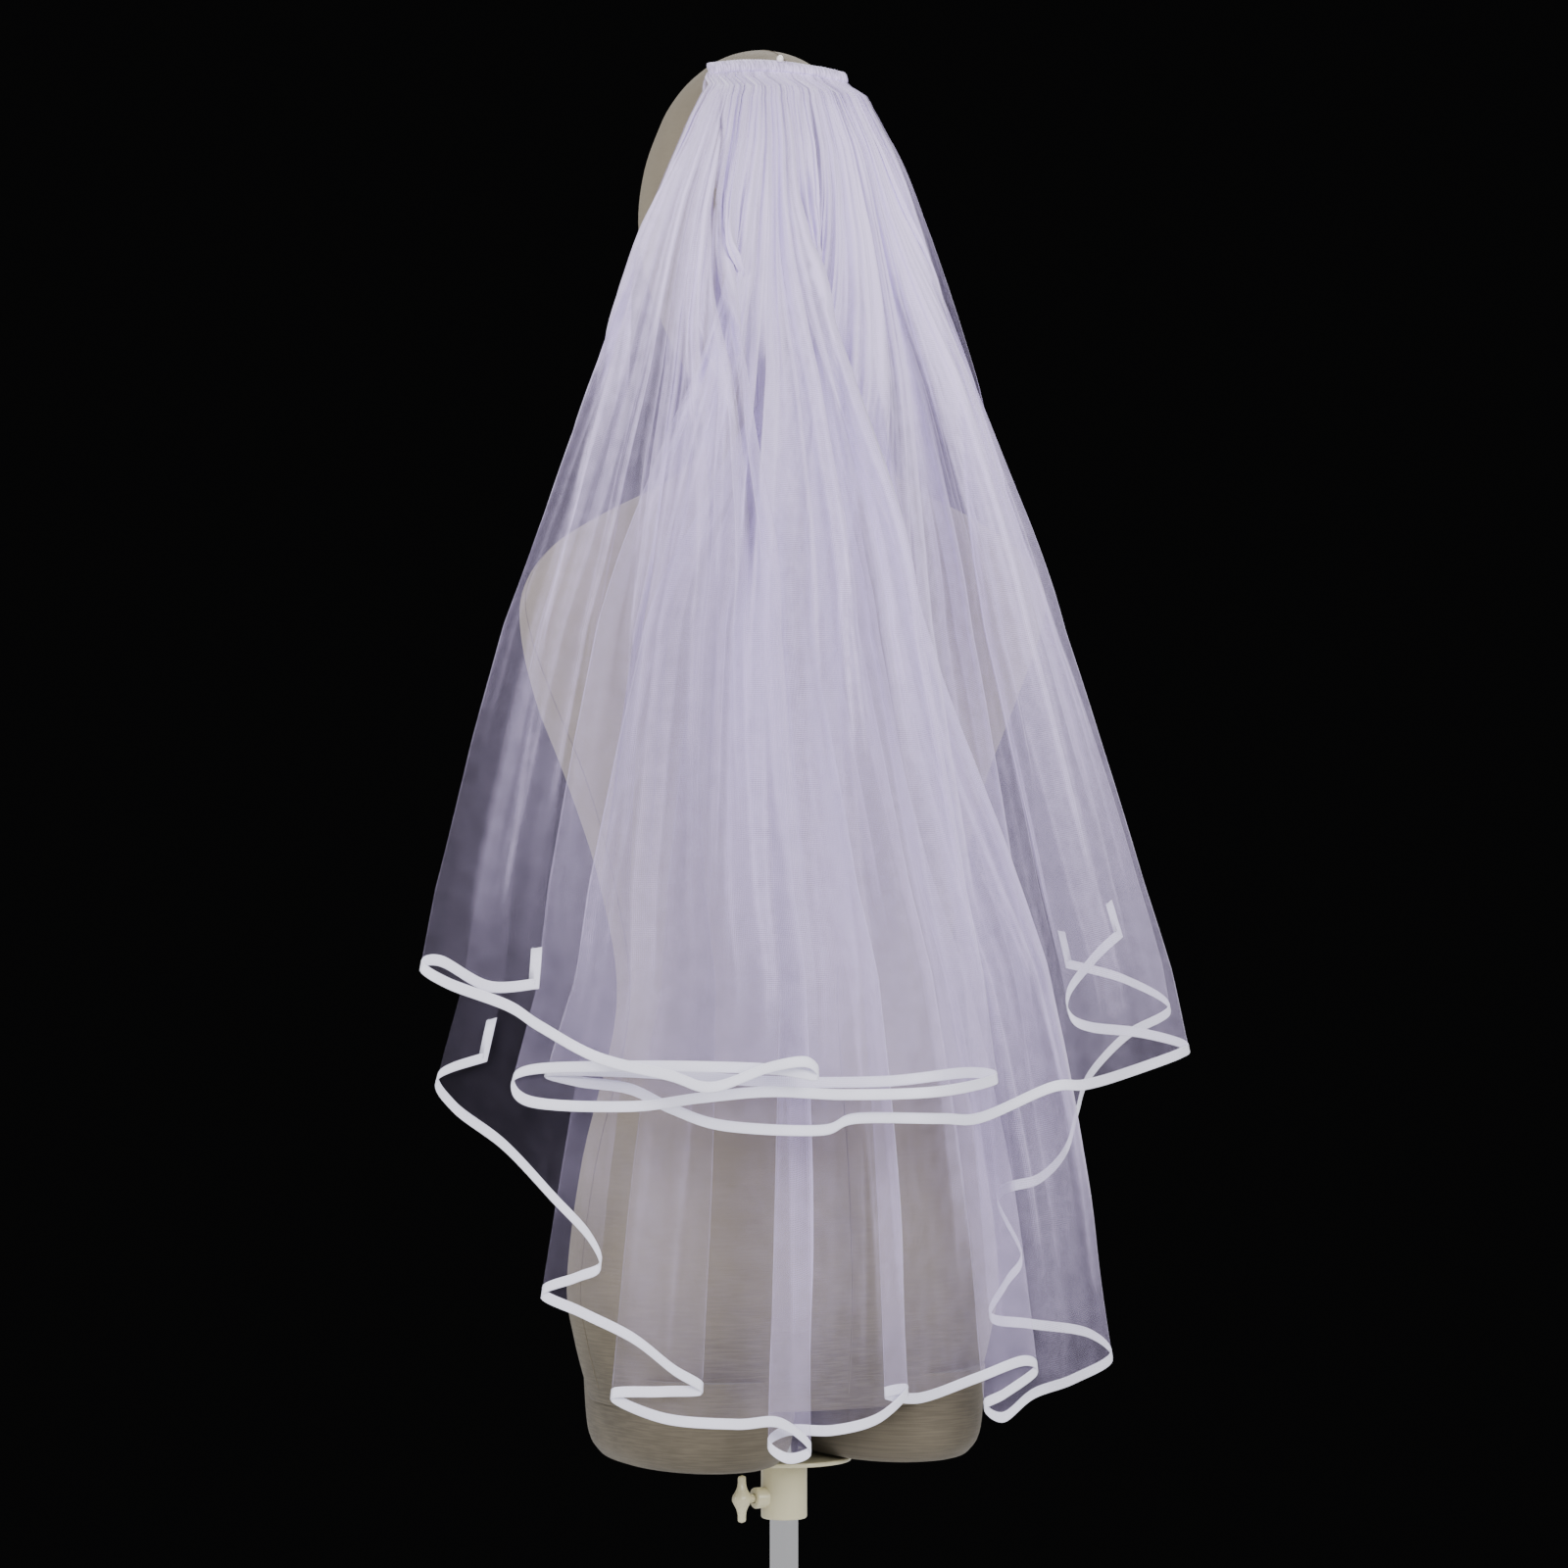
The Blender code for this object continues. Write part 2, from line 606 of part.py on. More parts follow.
def turned(name, profile, group, finish, sides):
    """A turned piece from its outer profile, top to bottom, as radius and height."""
    mesh = bpy.data.meshes.new(name)
    points = [(radius, 0.0, height) for radius, height in profile]
    mesh.from_pydata(points, [(i, i + 1) for i in range(len(points) - 1)], [])
    piece = bpy.data.objects.new(name, mesh)
    group.objects.link(piece)
    mesh.materials.append(finish)
    screw = piece.modifiers.new("turn", "SCREW")
    screw.steps = sides
    screw.render_steps = sides
    screw.use_merge_vertices = True
    screw.merge_threshold = 0.00005
    screw.use_smooth_shade = False
    return piece


def add_stand(group, cutters, finishes):
    hub_bore = POLE_RADIUS + POLE_PLAY
    turned("base_plate", [(0.0, BASE_THICK), (BASE_RADIUS - 4 * MM, BASE_THICK),
                          (BASE_RADIUS, BASE_THICK - 4 * MM), (BASE_RADIUS, 0.0), (0.0, 0.0)],
           group, finishes["paint"], 48)
    floor = BASE_THICK + SEAM
    turned("base_hub", [(hub_bore, HUB_TOP), (HUB_RADIUS * 0.62, HUB_TOP),
                        (HUB_RADIUS * 0.74, HUB_TOP - 4 * MM), (HUB_RADIUS * 0.8, floor + 10 * MM),
                        (HUB_RADIUS, floor + 4 * MM), (HUB_RADIUS, floor),
                        (hub_bore, floor), (hub_bore, HUB_TOP)],
           group, finishes["paint"], 20)
    turned("pole", [(0.0, POLE_TOP), (POLE_RADIUS - 1 * MM, POLE_TOP),
                    (POLE_RADIUS, POLE_TOP - 1 * MM), (POLE_RADIUS, floor), (0.0, floor)],
           group, finishes["chrome"], 20)
    top = FLANGE_TOP
    under = top - FLANGE_THICK
    bore = POLE_RADIUS + POLE_PLAY
    turned("flange_plate", [(bore, top), (FLANGE_RADIUS - 1 * MM, top),
                            (FLANGE_RADIUS, top - 1 * MM), (FLANGE_RADIUS, under), (bore, under),
                            (bore, top)],
           group, finishes["paint"], 28)
    collar = turned("collar", [(bore, COLLAR_TOP), (COLLAR_RADIUS, COLLAR_TOP),
                               (COLLAR_RADIUS, COLLAR_BOTTOM + 1.5 * MM),
                               (COLLAR_RADIUS - 1.5 * MM, COLLAR_BOTTOM), (bore, COLLAR_BOTTOM),
                               (bore, COLLAR_TOP)],
                    group, finishes["paint"], 22)
    add_boss_and_screw(collar, group, cutters, finishes)


def lay_along(bm, direction, middle):
    """Turns a shape that stands on +Z along a level direction and moves it."""
    turn = Vector((0, 0, 1)).rotation_difference(direction)
    bmesh.ops.rotate(bm, verts=bm.verts, cent=(0, 0, 0), matrix=turn.to_matrix())
    bmesh.ops.translate(bm, verts=bm.verts, vec=middle)
    return bm


def add_boss_and_screw(collar, group, cutters, finishes):
    """The collar's boss and the wing screw that clamps it on the pole."""
    out = screw_direction()
    centre = Vector((0, 0, SCREW_HEIGHT))
    boss = lay_along(cylinder(BOSS_RADIUS, POLE_RADIUS + POLE_PLAY + 2 * MM, BOSS_REACH, 20), out, centre)
    boss_piece = add_piece("collar_boss", boss, cutters, finishes["paint"])
    hide_cutter(boss_piece, cutters)
    cut_or_join(collar, boss_piece, "UNION")
    hole = lay_along(cylinder(SCREW_RADIUS + 0.4 * MM, POLE_RADIUS - 1 * MM, BOSS_REACH + 2 * MM, 14),
                     out, centre)
    hole_piece = add_piece("screw_hole", hole, cutters, finishes["paint"])
    hide_cutter(hole_piece, cutters)
    cut_or_join(collar, hole_piece, "DIFFERENCE")
    shank = lay_along(cylinder(SCREW_RADIUS, POLE_RADIUS + SEAM, BOSS_REACH + 8 * MM, 14), out, centre)
    screw = add_piece("wing_screw", shank, group, finishes["paint"])
    wing = add_piece("wing", wing_shape(out, centre), cutters, finishes["paint"])
    hide_cutter(wing, cutters)
    cut_or_join(screw, wing, "UNION")


def screw_direction():
    turn = math.radians(155.0 - 62.0)
    return Vector((math.sin(turn), -math.cos(turn), 0.0))


def wing_shape(out, centre):
    """A flat wing with two rounded ears, upright, on the screw's outer end."""
    bm = bmesh.new()
    side = out.cross(Vector((0, 0, 1)))
    start = BOSS_REACH + 2 * MM
    outline = []
    steps = 20
    for k in range(steps):
        turn = 2 * math.pi * k / steps
        ear = 0.55 + 0.45 * abs(math.sin(turn))
        rise = WING_SPAN / 2 * math.sin(turn)
        reach = start + WING_DEPTH * (0.5 + 0.5 * math.cos(turn) * ear)
        outline.append(centre + out * reach + Vector((0, 0, rise)))
    rings = []
    for face in (-1, 1):
        rings.append([bm.verts.new(point + side * (face * WING_THICK / 2)) for point in outline])
    for k in range(steps):
        n = (k + 1) % steps
        bm.faces.new((rings[0][k], rings[0][n], rings[1][n], rings[1][k]))
    bm.faces.new(list(reversed(rings[0])))
    bm.faces.new(rings[1])
    bmesh.ops.recalc_face_normals(bm, faces=bm.faces)
    return bm


def add_comb(group, finish):
    """The comb under the heading: an arched bar with straight teeth, on the crown."""
    pitch = 2 * HEADING_HALF * 0.94 / COMB_TEETH
    first = -pitch * COMB_TEETH / 2
    rows = []
    for k in range(2 * COMB_TEETH + 1):
        side = first + pitch * k / 2
        long_tooth = k % 2 == 1
        rows.append((side - pitch * 0.20, long_tooth))
        rows.append((side + pitch * 0.20, long_tooth))
    bm = bmesh.new()
    layers = []
    for lift in (COMB_LIFT, COMB_LIFT + COMB_THICK):
        top = [bm.verts.new(seat_point(side, 0.0, lift)) for side, _ in rows]
        bar = [bm.verts.new(seat_point(side, COMB_BAR, lift)) for side, _ in rows]
        layers.append((top, bar))
    tips = {}
    for k in range(0, len(rows), 2):
        if rows[k][1]:
            for lift_index, lift in enumerate((COMB_LIFT, COMB_LIFT + COMB_THICK)):
                middle = (rows[k][0] + rows[k + 1][0]) / 2
                for n, side in ((k, middle - pitch * 0.1), (k + 1, middle + pitch * 0.1)):
                    tip = seat_point(side, COMB_BAR + COMB_TOOTH, lift)
                    tips[(lift_index, n)] = bm.verts.new(tip)
    low, high = layers
    for k in range(len(rows) - 1):
        bm.faces.new((low[0][k], low[0][k + 1], low[1][k + 1], low[1][k]))
        bm.faces.new((high[0][k], high[1][k], high[1][k + 1], high[0][k + 1]))
        bm.faces.new((low[0][k + 1], low[0][k], high[0][k], high[0][k + 1]))
        if (0, k) in tips and (0, k + 1) in tips:
            a, b = tips[(0, k)], tips[(0, k + 1)]
            c, d = tips[(1, k)], tips[(1, k + 1)]
            bm.faces.new((low[1][k], low[1][k + 1], b, a))
            bm.faces.new((high[1][k + 1], high[1][k], c, d))
            bm.faces.new((low[1][k], a, c, high[1][k]))
            bm.faces.new((b, low[1][k + 1], high[1][k + 1], d))
            bm.faces.new((a, b, d, c))
        else:
            bm.faces.new((low[1][k], low[1][k + 1], high[1][k + 1], high[1][k]))
    for k in (0, len(rows) - 1):
        bm.faces.new((low[0][k], low[1][k], high[1][k], high[0][k]))
    bmesh.ops.recalc_face_normals(bm, faces=bm.faces)
    return add_piece("comb", bm, group, finish)


def add_band(group, finish):
    """The gathered heading: a rucked band that holds both tiers, sewn on the comb."""
    rings = []
    count = 2 * BAND_RUCKS
    profile = 6
    for k in range(count + 1):
        side = HEADING_HALF * (2 * k / count - 1)
        ruck = 0.84 + 0.16 * (k % 2)
        ring = []
        for n in range(profile):
            turn = 2 * math.pi * n / profile
            down = BAND_START + BAND_DEEP * (0.5 - 0.5 * math.cos(turn))
            lift = BAND_LIFT + BAND_THICK * (0.5 + 0.5 * math.sin(turn)) * ruck
            ring.append(seat_point(side, down, lift))
        rings.append(ring)
    return add_piece("gathered_heading", ring_loft(rings), group, finish, 60.0)


def add_pin(group, finish):
    """The round-headed pin that holds the heading at the middle of the crown."""
    bm = bmesh.new()
    bmesh.ops.create_uvsphere(bm, u_segments=14, v_segments=9, radius=PIN_HEAD_RADIUS)
    seat = seat_point(PIN_SIDE, BAND_START + BAND_DEEP * 0.35, BAND_LIFT + BAND_THICK - PIN_SINK)
    lift = Vector((0.0, math.sin(SEAT_SLOPE), math.cos(SEAT_SLOPE))) * (PIN_HEAD_RADIUS + SEAM)
    bmesh.ops.translate(bm, verts=bm.verts, vec=seat + lift)
    return add_piece("pin_head", bm, group, finish)


def main():
    clear_scene()
    group = new_collection("bridal_veil")
    cutters = new_collection("cutters")
    finishes = {name: new_finish(name) for name in FINISHES}
    add_stand(group, cutters, finishes)
    add_form(group, cutters, finishes["canvas"])
    add_comb(group, finishes["comb"])
    add_band(group, finishes["tulle"])
    add_pin(group, finishes["pearl"])
    middle = BAND_LIFT + BAND_THICK / 2
    _, lower_rows = add_tier("veil_lower_tier", LOWER_EDGE, "lower", LOWER_COLUMNS,
                             middle - 1.5 * MM, group, finishes["tulle"])
    _, upper_rows = add_tier("veil_upper_tier", UPPER_EDGE, "upper", UPPER_COLUMNS,
                             middle + 1.2 * MM, group, finishes["tulle"])
    add_edging("lower_ribbon_edge", lower_rows, group, finishes["ribbon"])
    add_edging("upper_ribbon_edge", upper_rows, group, finishes["ribbon"])


main()
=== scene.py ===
"""The finished look of a two-tier tulle bridal veil on a limbless dress form and its stand.

Everything is in metres, +Z up. The form faces -Y and its left side is +X. Each tier of the veil
is one thin sheet that follows the solid of the same name in the frame: its hem is a short table
of turns, and the sheet is drawn from the comb at the crown down to that hem.
"""

import math
from collections import namedtuple
from contextlib import contextmanager

import bmesh
import bpy
import numpy as np
from bpy.props import FloatProperty, FloatVectorProperty, IntProperty, PointerProperty
from bpy.types import Operator, Panel, PropertyGroup
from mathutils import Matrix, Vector


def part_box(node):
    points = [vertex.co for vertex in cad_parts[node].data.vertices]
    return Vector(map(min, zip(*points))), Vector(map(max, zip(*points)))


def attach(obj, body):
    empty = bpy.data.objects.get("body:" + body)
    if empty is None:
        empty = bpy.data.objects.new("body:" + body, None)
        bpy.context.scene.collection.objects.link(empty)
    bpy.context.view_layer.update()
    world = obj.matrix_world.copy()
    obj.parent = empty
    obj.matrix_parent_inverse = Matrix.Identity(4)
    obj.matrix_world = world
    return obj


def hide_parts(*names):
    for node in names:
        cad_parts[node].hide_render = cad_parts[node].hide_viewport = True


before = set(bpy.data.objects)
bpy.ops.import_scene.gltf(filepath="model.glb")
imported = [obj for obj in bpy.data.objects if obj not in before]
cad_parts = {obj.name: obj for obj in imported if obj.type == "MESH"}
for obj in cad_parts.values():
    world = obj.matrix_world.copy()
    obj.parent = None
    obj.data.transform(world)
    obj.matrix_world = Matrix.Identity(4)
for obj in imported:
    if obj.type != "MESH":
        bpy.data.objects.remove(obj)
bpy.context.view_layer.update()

bl_info = {
    "name": "Two-Tier Bridal Veil",
    "version": (1, 0, 0),
    "blender": (4, 5, 0),
    "location": "View3D > Sidebar > Veil",
    "description": "Builds a ribbon-bound tulle veil on a dress form stand",
    "category": "Add Mesh",
}

MM = 0.001
FORM_BODY = "form"

# The side that the hem was measured from: behind the form, turned towards its left
SIGHT_TURN = math.radians(155.0)
SIGHT_DISTANCE = 3.4
SIGHT_HEIGHT = 1.2
SIGHT_WIDTH = 1.056
SENSOR_WIDTH = 36.0
ACROSS = (math.cos(SIGHT_TURN), math.sin(SIGHT_TURN))
TOWARDS = (math.sin(SIGHT_TURN), -math.cos(SIGHT_TURN))

# Crown seat of the comb and the band on it
SEAT_SIDE = 17 * MM
SEAT_BACK = 14 * MM
SEAT_HEIGHT = 1.6787
SEAT_SLOPE = math.radians(40.0)
SEAT_ARCH = 9 * MM
SEAT_ROUND = 95 * MM
HEADING_HALF = 50 * MM
BAND_DEEP = 11 * MM
BAND_THICK = 6 * MM
BAND_START = -2 * MM
BAND_LIFT = 1.8 * MM
UPPER_LIFT = 1.2 * MM
LOWER_LIFT = -1.5 * MM
TIER_TOP = BAND_START + BAND_DEEP - 3 * MM
TIER_SHARE = 0.98
SEAT_LEAVE = 0.03

# Rucks of the band, points round it, its fullness and where its two rows of stitches run
BAND_RUCKS = 46
BAND_SIDES = 20
BAND_FULL = 0.80
STITCH_ROWS = (0.30, 0.62)
STITCH_FULL = 0.84
STITCH_REACH = 0.985

# How far behind the pole each tier may lie at each height, its inner and its outer limit
DrapeRow = namedtuple("DrapeRow", "height lower_in lower_out upper_in upper_out")
DRAPE = [DrapeRow(*row) for row in (
    (1.677, 24.0, 25.0, 27.5, 28.5), (1.664, 41, 46, 50, 59), (1.640, 54, 66, 70, 87),
    (1.600, 62, 82, 87, 111), (1.500, 68, 97, 102, 138), (1.400, 82, 117, 122.5, 164),
    (1.300, 101, 140, 146, 190), (1.150, 108, 160, 166, 218), (1.000, 112, 180, 186, 246),
    (0.740, 114, 214, 220, 270),
)]
WRAP_DEPTH = 78 * MM
WRAP_REACH = 270 * MM
FIRST_DEPTH = 0.15
PLACE_ROUNDS = 8

# How much wider than a straight cone the veil is on the form's left and right
BULGE_LEFT = 0.13
BULGE_RIGHT = 0.05

# How far both tiers hang over to the form's left at each height, in mm
SwayRow = namedtuple("SwayRow", "height side")
SWAY = [SwayRow(*row) for row in (
    (1.677, 0), (1.664, 2), (1.650, 8), (1.629, 12), (1.603, 14), (1.575, 15), (1.544, 14), (1.507, 12),
    (1.464, 10), (1.371, 12), (1.299, 16), (1.227, 13), (1.134, 7), (1.075, 0),
)]

# Soft folds that run down both tiers together and fan out from the heading
FAN_REACH_TOP = 58 * MM
FAN_REACH_HEM = 290 * MM
FAN_DROP = 0.68
FAN_DROP_MOST = 1.35
FAN_BEGIN = 0.35
FAN_BULGE = 0.10
FAN_DEPTH = 15 * MM
FanFold = namedtuple("FanFold", "waves phase share")
FAN_FOLDS = [FanFold(3.4, 0.6, 0.55), FanFold(5.3, 2.1, 0.45)]

# The edge of each tier, a row for each turn or bend of a fold, from the form's left to its
# right. Across and height are seen sizes in mm at the pole's distance. Layer is the share of
# the tier's depth, from 0 next to the form to 1 outermost.
EdgeRow = namedtuple("EdgeRow", "across height layer")
UPPER_EDGE = [EdgeRow(*row) for row in (
    (-165, 1062, 0.88), (-200, 1060, 0.90), (-230, 1077, 0.925), (-244, 1074, 0.96), (-227, 1062, 1),
    (-187, 1047, 0.99), (-165, 1033, 0.98), (-126, 1012, 0.97), (-78, 1000, 0.96), (-49, 992, 0.95),
    (-11, 1005, 0.92), (15, 1009, 0.87), (22, 1000, 0.81), (-6, 1004, 0.77), (-65, 1006, 0.75),
    (-125, 1006, 0.72), (-171, 1004, 0.67), (-184, 996, 0.62), (-170, 982, 0.57), (-105, 979, 0.55),
    (-55, 985, 0.53), (-9, 989, 0.52), (42, 987, 0.5), (102, 989, 0.48), (143, 998, 0.43),
    (123, 1002, 0.38), (67, 996, 0.36), (-13, 996, 0.34), (-98, 1002, 0.32), (-160, 1003, 0.27),
    (-139, 996, 0.23), (-105, 991, 0.22), (-75, 977, 0.215), (-40, 966, 0.21), (24, 963, 0.2),
    (48, 971, 0.195), (104, 971, 0.19), (133, 972, 0.185), (180, 992, 0.18), (202, 994, 0.175),
    (230, 1002, 0.17), (266, 1015, 0.15), (270, 1021, 0.10), (240, 1029, 0.04), (205, 1033, 0),
    (192, 1041, -0.03), (192, 1058, -0.055), (210, 1080, -0.08), (230, 1097, -0.1),
)]
LOWER_EDGE = [EdgeRow(*row) for row in (
    (-200, 1013, 1), (-234, 1000, 0.95), (-223, 979, 0.91), (-189, 953, 0.9), (-156, 918, 0.89),
    (-132, 892, 0.885), (-124, 872, 0.84), (-140, 864, 0.78), (-164, 854, 0.74), (-136, 840, 0.72),
    (-102, 823, 0.71), (-75, 802, 0.69), (-55, 789, 0.65), (-81, 787, 0.61), (-117, 785, 0.57),
    (-81, 769, 0.54), (-33, 765, 0.53), (-3, 766, 0.51), (18, 749, 0.47), (3, 742, 0.43),
    (-11, 752, 0.39), (3, 761, 0.35), (33, 761, 0.345), (63, 769, 0.33), (83, 788, 0.295),
    (67, 786, 0.26), (91, 783, 0.245), (129, 796, 0.24), (161, 808, 0.235), (170, 802, 0.21),
    (149, 786, 0.185), (135, 778, 0.16), (148, 770, 0.14), (168, 786, 0.135), (195, 796, 0.13),
    (221, 811, 0.09), (205, 827, 0.035), (166, 833, -0.01), (139, 838, -0.035), (150, 861, -0.06),
    (160, 880, -0.07), (144, 919, -0.11), (172, 931, -0.14), (190, 950, -0.15), (198, 977, -0.16),
    (206, 1000, -0.17), (231, 1027, -0.19), (261, 1046, -0.23), (231, 1065, -0.28), (190, 1076, -0.31),
)]
EDGE_STEPS = 24
SIDE_RIBBON_FROM = 0.95
ROW_POWER = 1.2
FLAT_HEM_FROM = 0.86
FLAT_HEM_OVER = 0.12
FLAT_SIDE = 40 * MM

# Creases given one by one: share across the cut width, where on the drop each begins and ends,
# its half width on the flat cloth in mm, and its depth in mm, outwards as a ridge or inwards
Crease = namedtuple("Crease", "at begin end half depth")
UPPER_CREASES = [Crease(*row) for row in (
    (0.05, 0.10, 0.90, 22, 3.0), (0.105, 0.02, 0.75, 12, -2.6), (0.15, 0.12, 0.95, 18, 3.4),
    (0.20, 0.04, 0.70, 10, -2.4), (0.245, 0.00, 0.92, 15, 3.2), (0.31, 0.16, 0.80, 26, -3.0),
    (0.36, 0.05, 0.88, 12, 2.6), (0.41, 0.00, 0.66, 9, -2.2), (0.455, 0.10, 0.93, 20, 3.4),
    (0.50, 0.03, 0.72, 11, -2.6), (0.555, 0.18, 0.95, 24, 3.0), (0.60, 0.00, 0.80, 10, -2.4),
    (0.645, 0.08, 0.90, 17, 3.0), (0.70, 0.02, 0.70, 12, -2.8), (0.76, 0.14, 0.94, 22, 3.2),
    (0.81, 0.04, 0.76, 10, -2.2), (0.865, 0.00, 0.90, 16, 2.8), (0.93, 0.10, 0.85, 20, -2.6),
)]
LOWER_CREASES = [Crease(*row) for row in (
    (0.06, 0.20, 0.80, 20, 3.0), (0.13, 0.10, 0.92, 14, -2.8), (0.20, 0.30, 0.96, 24, 3.6),
    (0.27, 0.05, 0.85, 12, -2.4), (0.34, 0.15, 0.97, 18, 3.4), (0.42, 0.30, 0.90, 26, -3.2),
    (0.49, 0.10, 0.96, 14, 3.0), (0.56, 0.00, 0.82, 11, -2.4), (0.63, 0.25, 0.95, 22, 3.4),
    (0.71, 0.08, 0.88, 13, -2.8), (0.79, 0.20, 0.96, 20, 3.2), (0.88, 0.12, 0.86, 16, -2.6),
)]
CREASE_BEGIN = 0.15
CREASE_END = 0.20

# Flat pleats given one by one, where the cloth lies on itself: share across the cut width, where
# on the drop each begins and ends, its half width in mm, and how many layers it makes. A slit
# makes less than one. The last two say how far across it drifts, and over what share of the drop
Pleat = namedtuple("Pleat", "at begin end half layers drift over", defaults=(0.0, 1.0))
UPPER_PLEATS = [Pleat(*row) for row in (
    (0.085, 0.02, 0.98, 34, 1.8), (0.195, 0.02, 0.98, 30, 2.0), (0.390, 0.02, 0.98, 36, 1.7),
    (0.800, 0.02, 0.98, 32, 1.8), (0.198, 0.25, 0.62, 4, 0.06), (0.360, 0.25, 0.62, 5, 0.06),
    (0.022, 0.05, 0.98, 6, 2.6), (0.060, 0.10, 0.97, 9, 2.3), (0.105, 0.06, 0.62, 3, 3.0),
    (0.140, 0.16, 0.97, 13, 2.1), (0.205, 0.03, 0.80, 4, 2.6), (0.250, 0.14, 0.60, 15, 1.8),
    (0.020, 0.02, 0.62, 3, 0.04, 0.148, 0.06), (0.320, 0.02, 0.95, 7, 2.6),
    (0.365, 0.10, 0.96, 12, 2.0), (0.420, 0.00, 0.74, 4, 2.8), (0.470, 0.12, 0.96, 16, 1.9),
    (0.535, 0.02, 0.55, 3, 0.3), (0.560, 0.04, 0.90, 9, 2.3), (0.620, 0.10, 0.97, 14, 1.9),
    (0.675, 0.01, 0.70, 3, 2.9), (0.725, 0.12, 0.96, 12, 2.0), (0.790, 0.04, 0.85, 6, 2.4),
    (0.850, 0.14, 0.97, 14, 1.9), (0.905, 0.05, 0.80, 4, 2.6), (0.955, 0.08, 0.97, 9, 2.2),
)]
LOWER_PLEATS = [Pleat(*row) for row in (
    (0.16, 0.05, 0.99, 30, 1.9), (0.39, 0.05, 0.99, 34, 1.8), (0.66, 0.05, 0.99, 30, 1.9),
    (0.056, 0.02, 0.46, 3, 0.04, 0.35, 0.25), (0.05, 0.10, 0.80, 9, 2.2), (0.12, 0.30, 0.98, 13, 1.9),
    (0.20, 0.05, 0.92, 5, 2.5), (0.27, 0.40, 0.99, 15, 1.9), (0.35, 0.10, 0.97, 7, 2.4),
    (0.43, 0.45, 0.99, 14, 2.0), (0.50, 0.05, 0.95, 5, 2.6), (0.57, 0.35, 0.99, 12, 2.0),
    (0.64, 0.10, 0.90, 7, 2.3), (0.72, 0.40, 0.98, 13, 1.9), (0.81, 0.10, 0.90, 6, 2.4),
    (0.90, 0.30, 0.96, 10, 2.0),
)]
PLEAT_EDGE = 1.1
PLEAT_RISE = 2.4
PLEAT_SOFT = 0.7
PLEAT_BEGIN = 0.06
PLEAT_END = 0.12
PLEAT_TOP = 0.35
PLEAT_OPENS = 0.35
PLEAT_ROUND = 1.25

# Finer pleats that are spread evenly with some chance: number, half widths in mm and layers
FINE_PLEATS = 56
FINE_HALF = (0.7, 3.2)
FINE_LENGTH = (0.25, 0.85)
FINE_LAYERS = (0.5, 1.5, 1.9, 2.6)

# Small soft pleats that start at the heading
PLEAT_SEED = 11
PLEAT_COUNT = 64
PLEAT_HALF = (4 * MM, 13 * MM)
PLEAT_DEPTH = (0.5 * MM, 1.7 * MM)

# How much of the cut the gathers bring together: share across the tier and fullness there
GATHER_POWER = 1.2
GATHER_LEAST = 0.75
GATHER_MOST = 11.0
FULLNESS = ((0.0, 0.55), (0.14, 0.60), (0.24, 0.85), (0.36, 2.10), (0.70, 2.30), (0.88, 1.50),
            (1.0, 0.70))
STREAKS = ((2, 0.5), (6, 0.9), (17, 1.1))
STREAK_SHARE = 0.36
STREAK_FADE = 0.6
STREAK_LIMITS = (0.3, 2.6)

# A tier's tables, its lift off the seat, where its hem's folds begin and are full, its density,
# and the drop and area of its flat cut in metres
Tier = namedtuple("Tier", "edge creases pleats lift begin full density drop area")
BAND_MIDDLE = BAND_LIFT + BAND_THICK / 2
TIERS = {
    "upper": Tier(UPPER_EDGE, UPPER_CREASES, UPPER_PLEATS, BAND_MIDDLE + UPPER_LIFT,
                  begin=0.03, full=0.55, density=1.0, drop=0.72, area=0.90),
    "lower": Tier(LOWER_EDGE, LOWER_CREASES, LOWER_PLEATS, BAND_MIDDLE + LOWER_LIFT,
                  begin=0.12, full=0.90, density=0.75, drop=0.95, area=0.61),
}

# Dress form: height, half width, half depth and how far forward each ring's middle lies
FormRow = namedtuple("FormRow", "height half_width half_depth forward")
FORM_ROWS = [FormRow(*row) for row in (
    (0.790, 134, 99, 0), (0.830, 145, 104, 0), (0.870, 150, 106, 0), (0.950, 139, 100, 0),
    (1.050, 115, 85, 1), (1.130, 125, 90, 4), (1.200, 146, 101, 10), (1.255, 170, 101, 9),
    (1.300, 186, 92, 0), (1.330, 188, 80, -8), (1.357, 170, 69, -12), (1.380, 132, 61, -11),
    (1.400, 89, 56, -7), (1.420, 60, 53, 0), (1.445, 50, 52, 7), (1.472, 52, 58, 19),
    (1.505, 60, 76, 34), (1.545, 71, 91, 41), (1.584, 76, 97, 42), (1.620, 72, 92, 42),
    (1.650, 62, 79, 42), (1.664, 55, 70, 42), (1.675, 47, 60, 42), (1.683, 39, 50, 42),
    (1.690, 30, 38, 42), (1.695, 20, 25, 42), (1.698, 9, 11, 42), (1.699, 1, 1.2, 42),
)]
STUMP_OUT = 70 * MM
STUMP_ROWS = [FormRow(*row) for row in (
    (0.7485, 42, 70, 0), (0.7490, 46, 75, 0), (0.7530, 53, 84, 0), (0.7680, 60, 93, 0),
    (0.8100, 63, 96, 0),
)]
RING_ROUND = 0.92

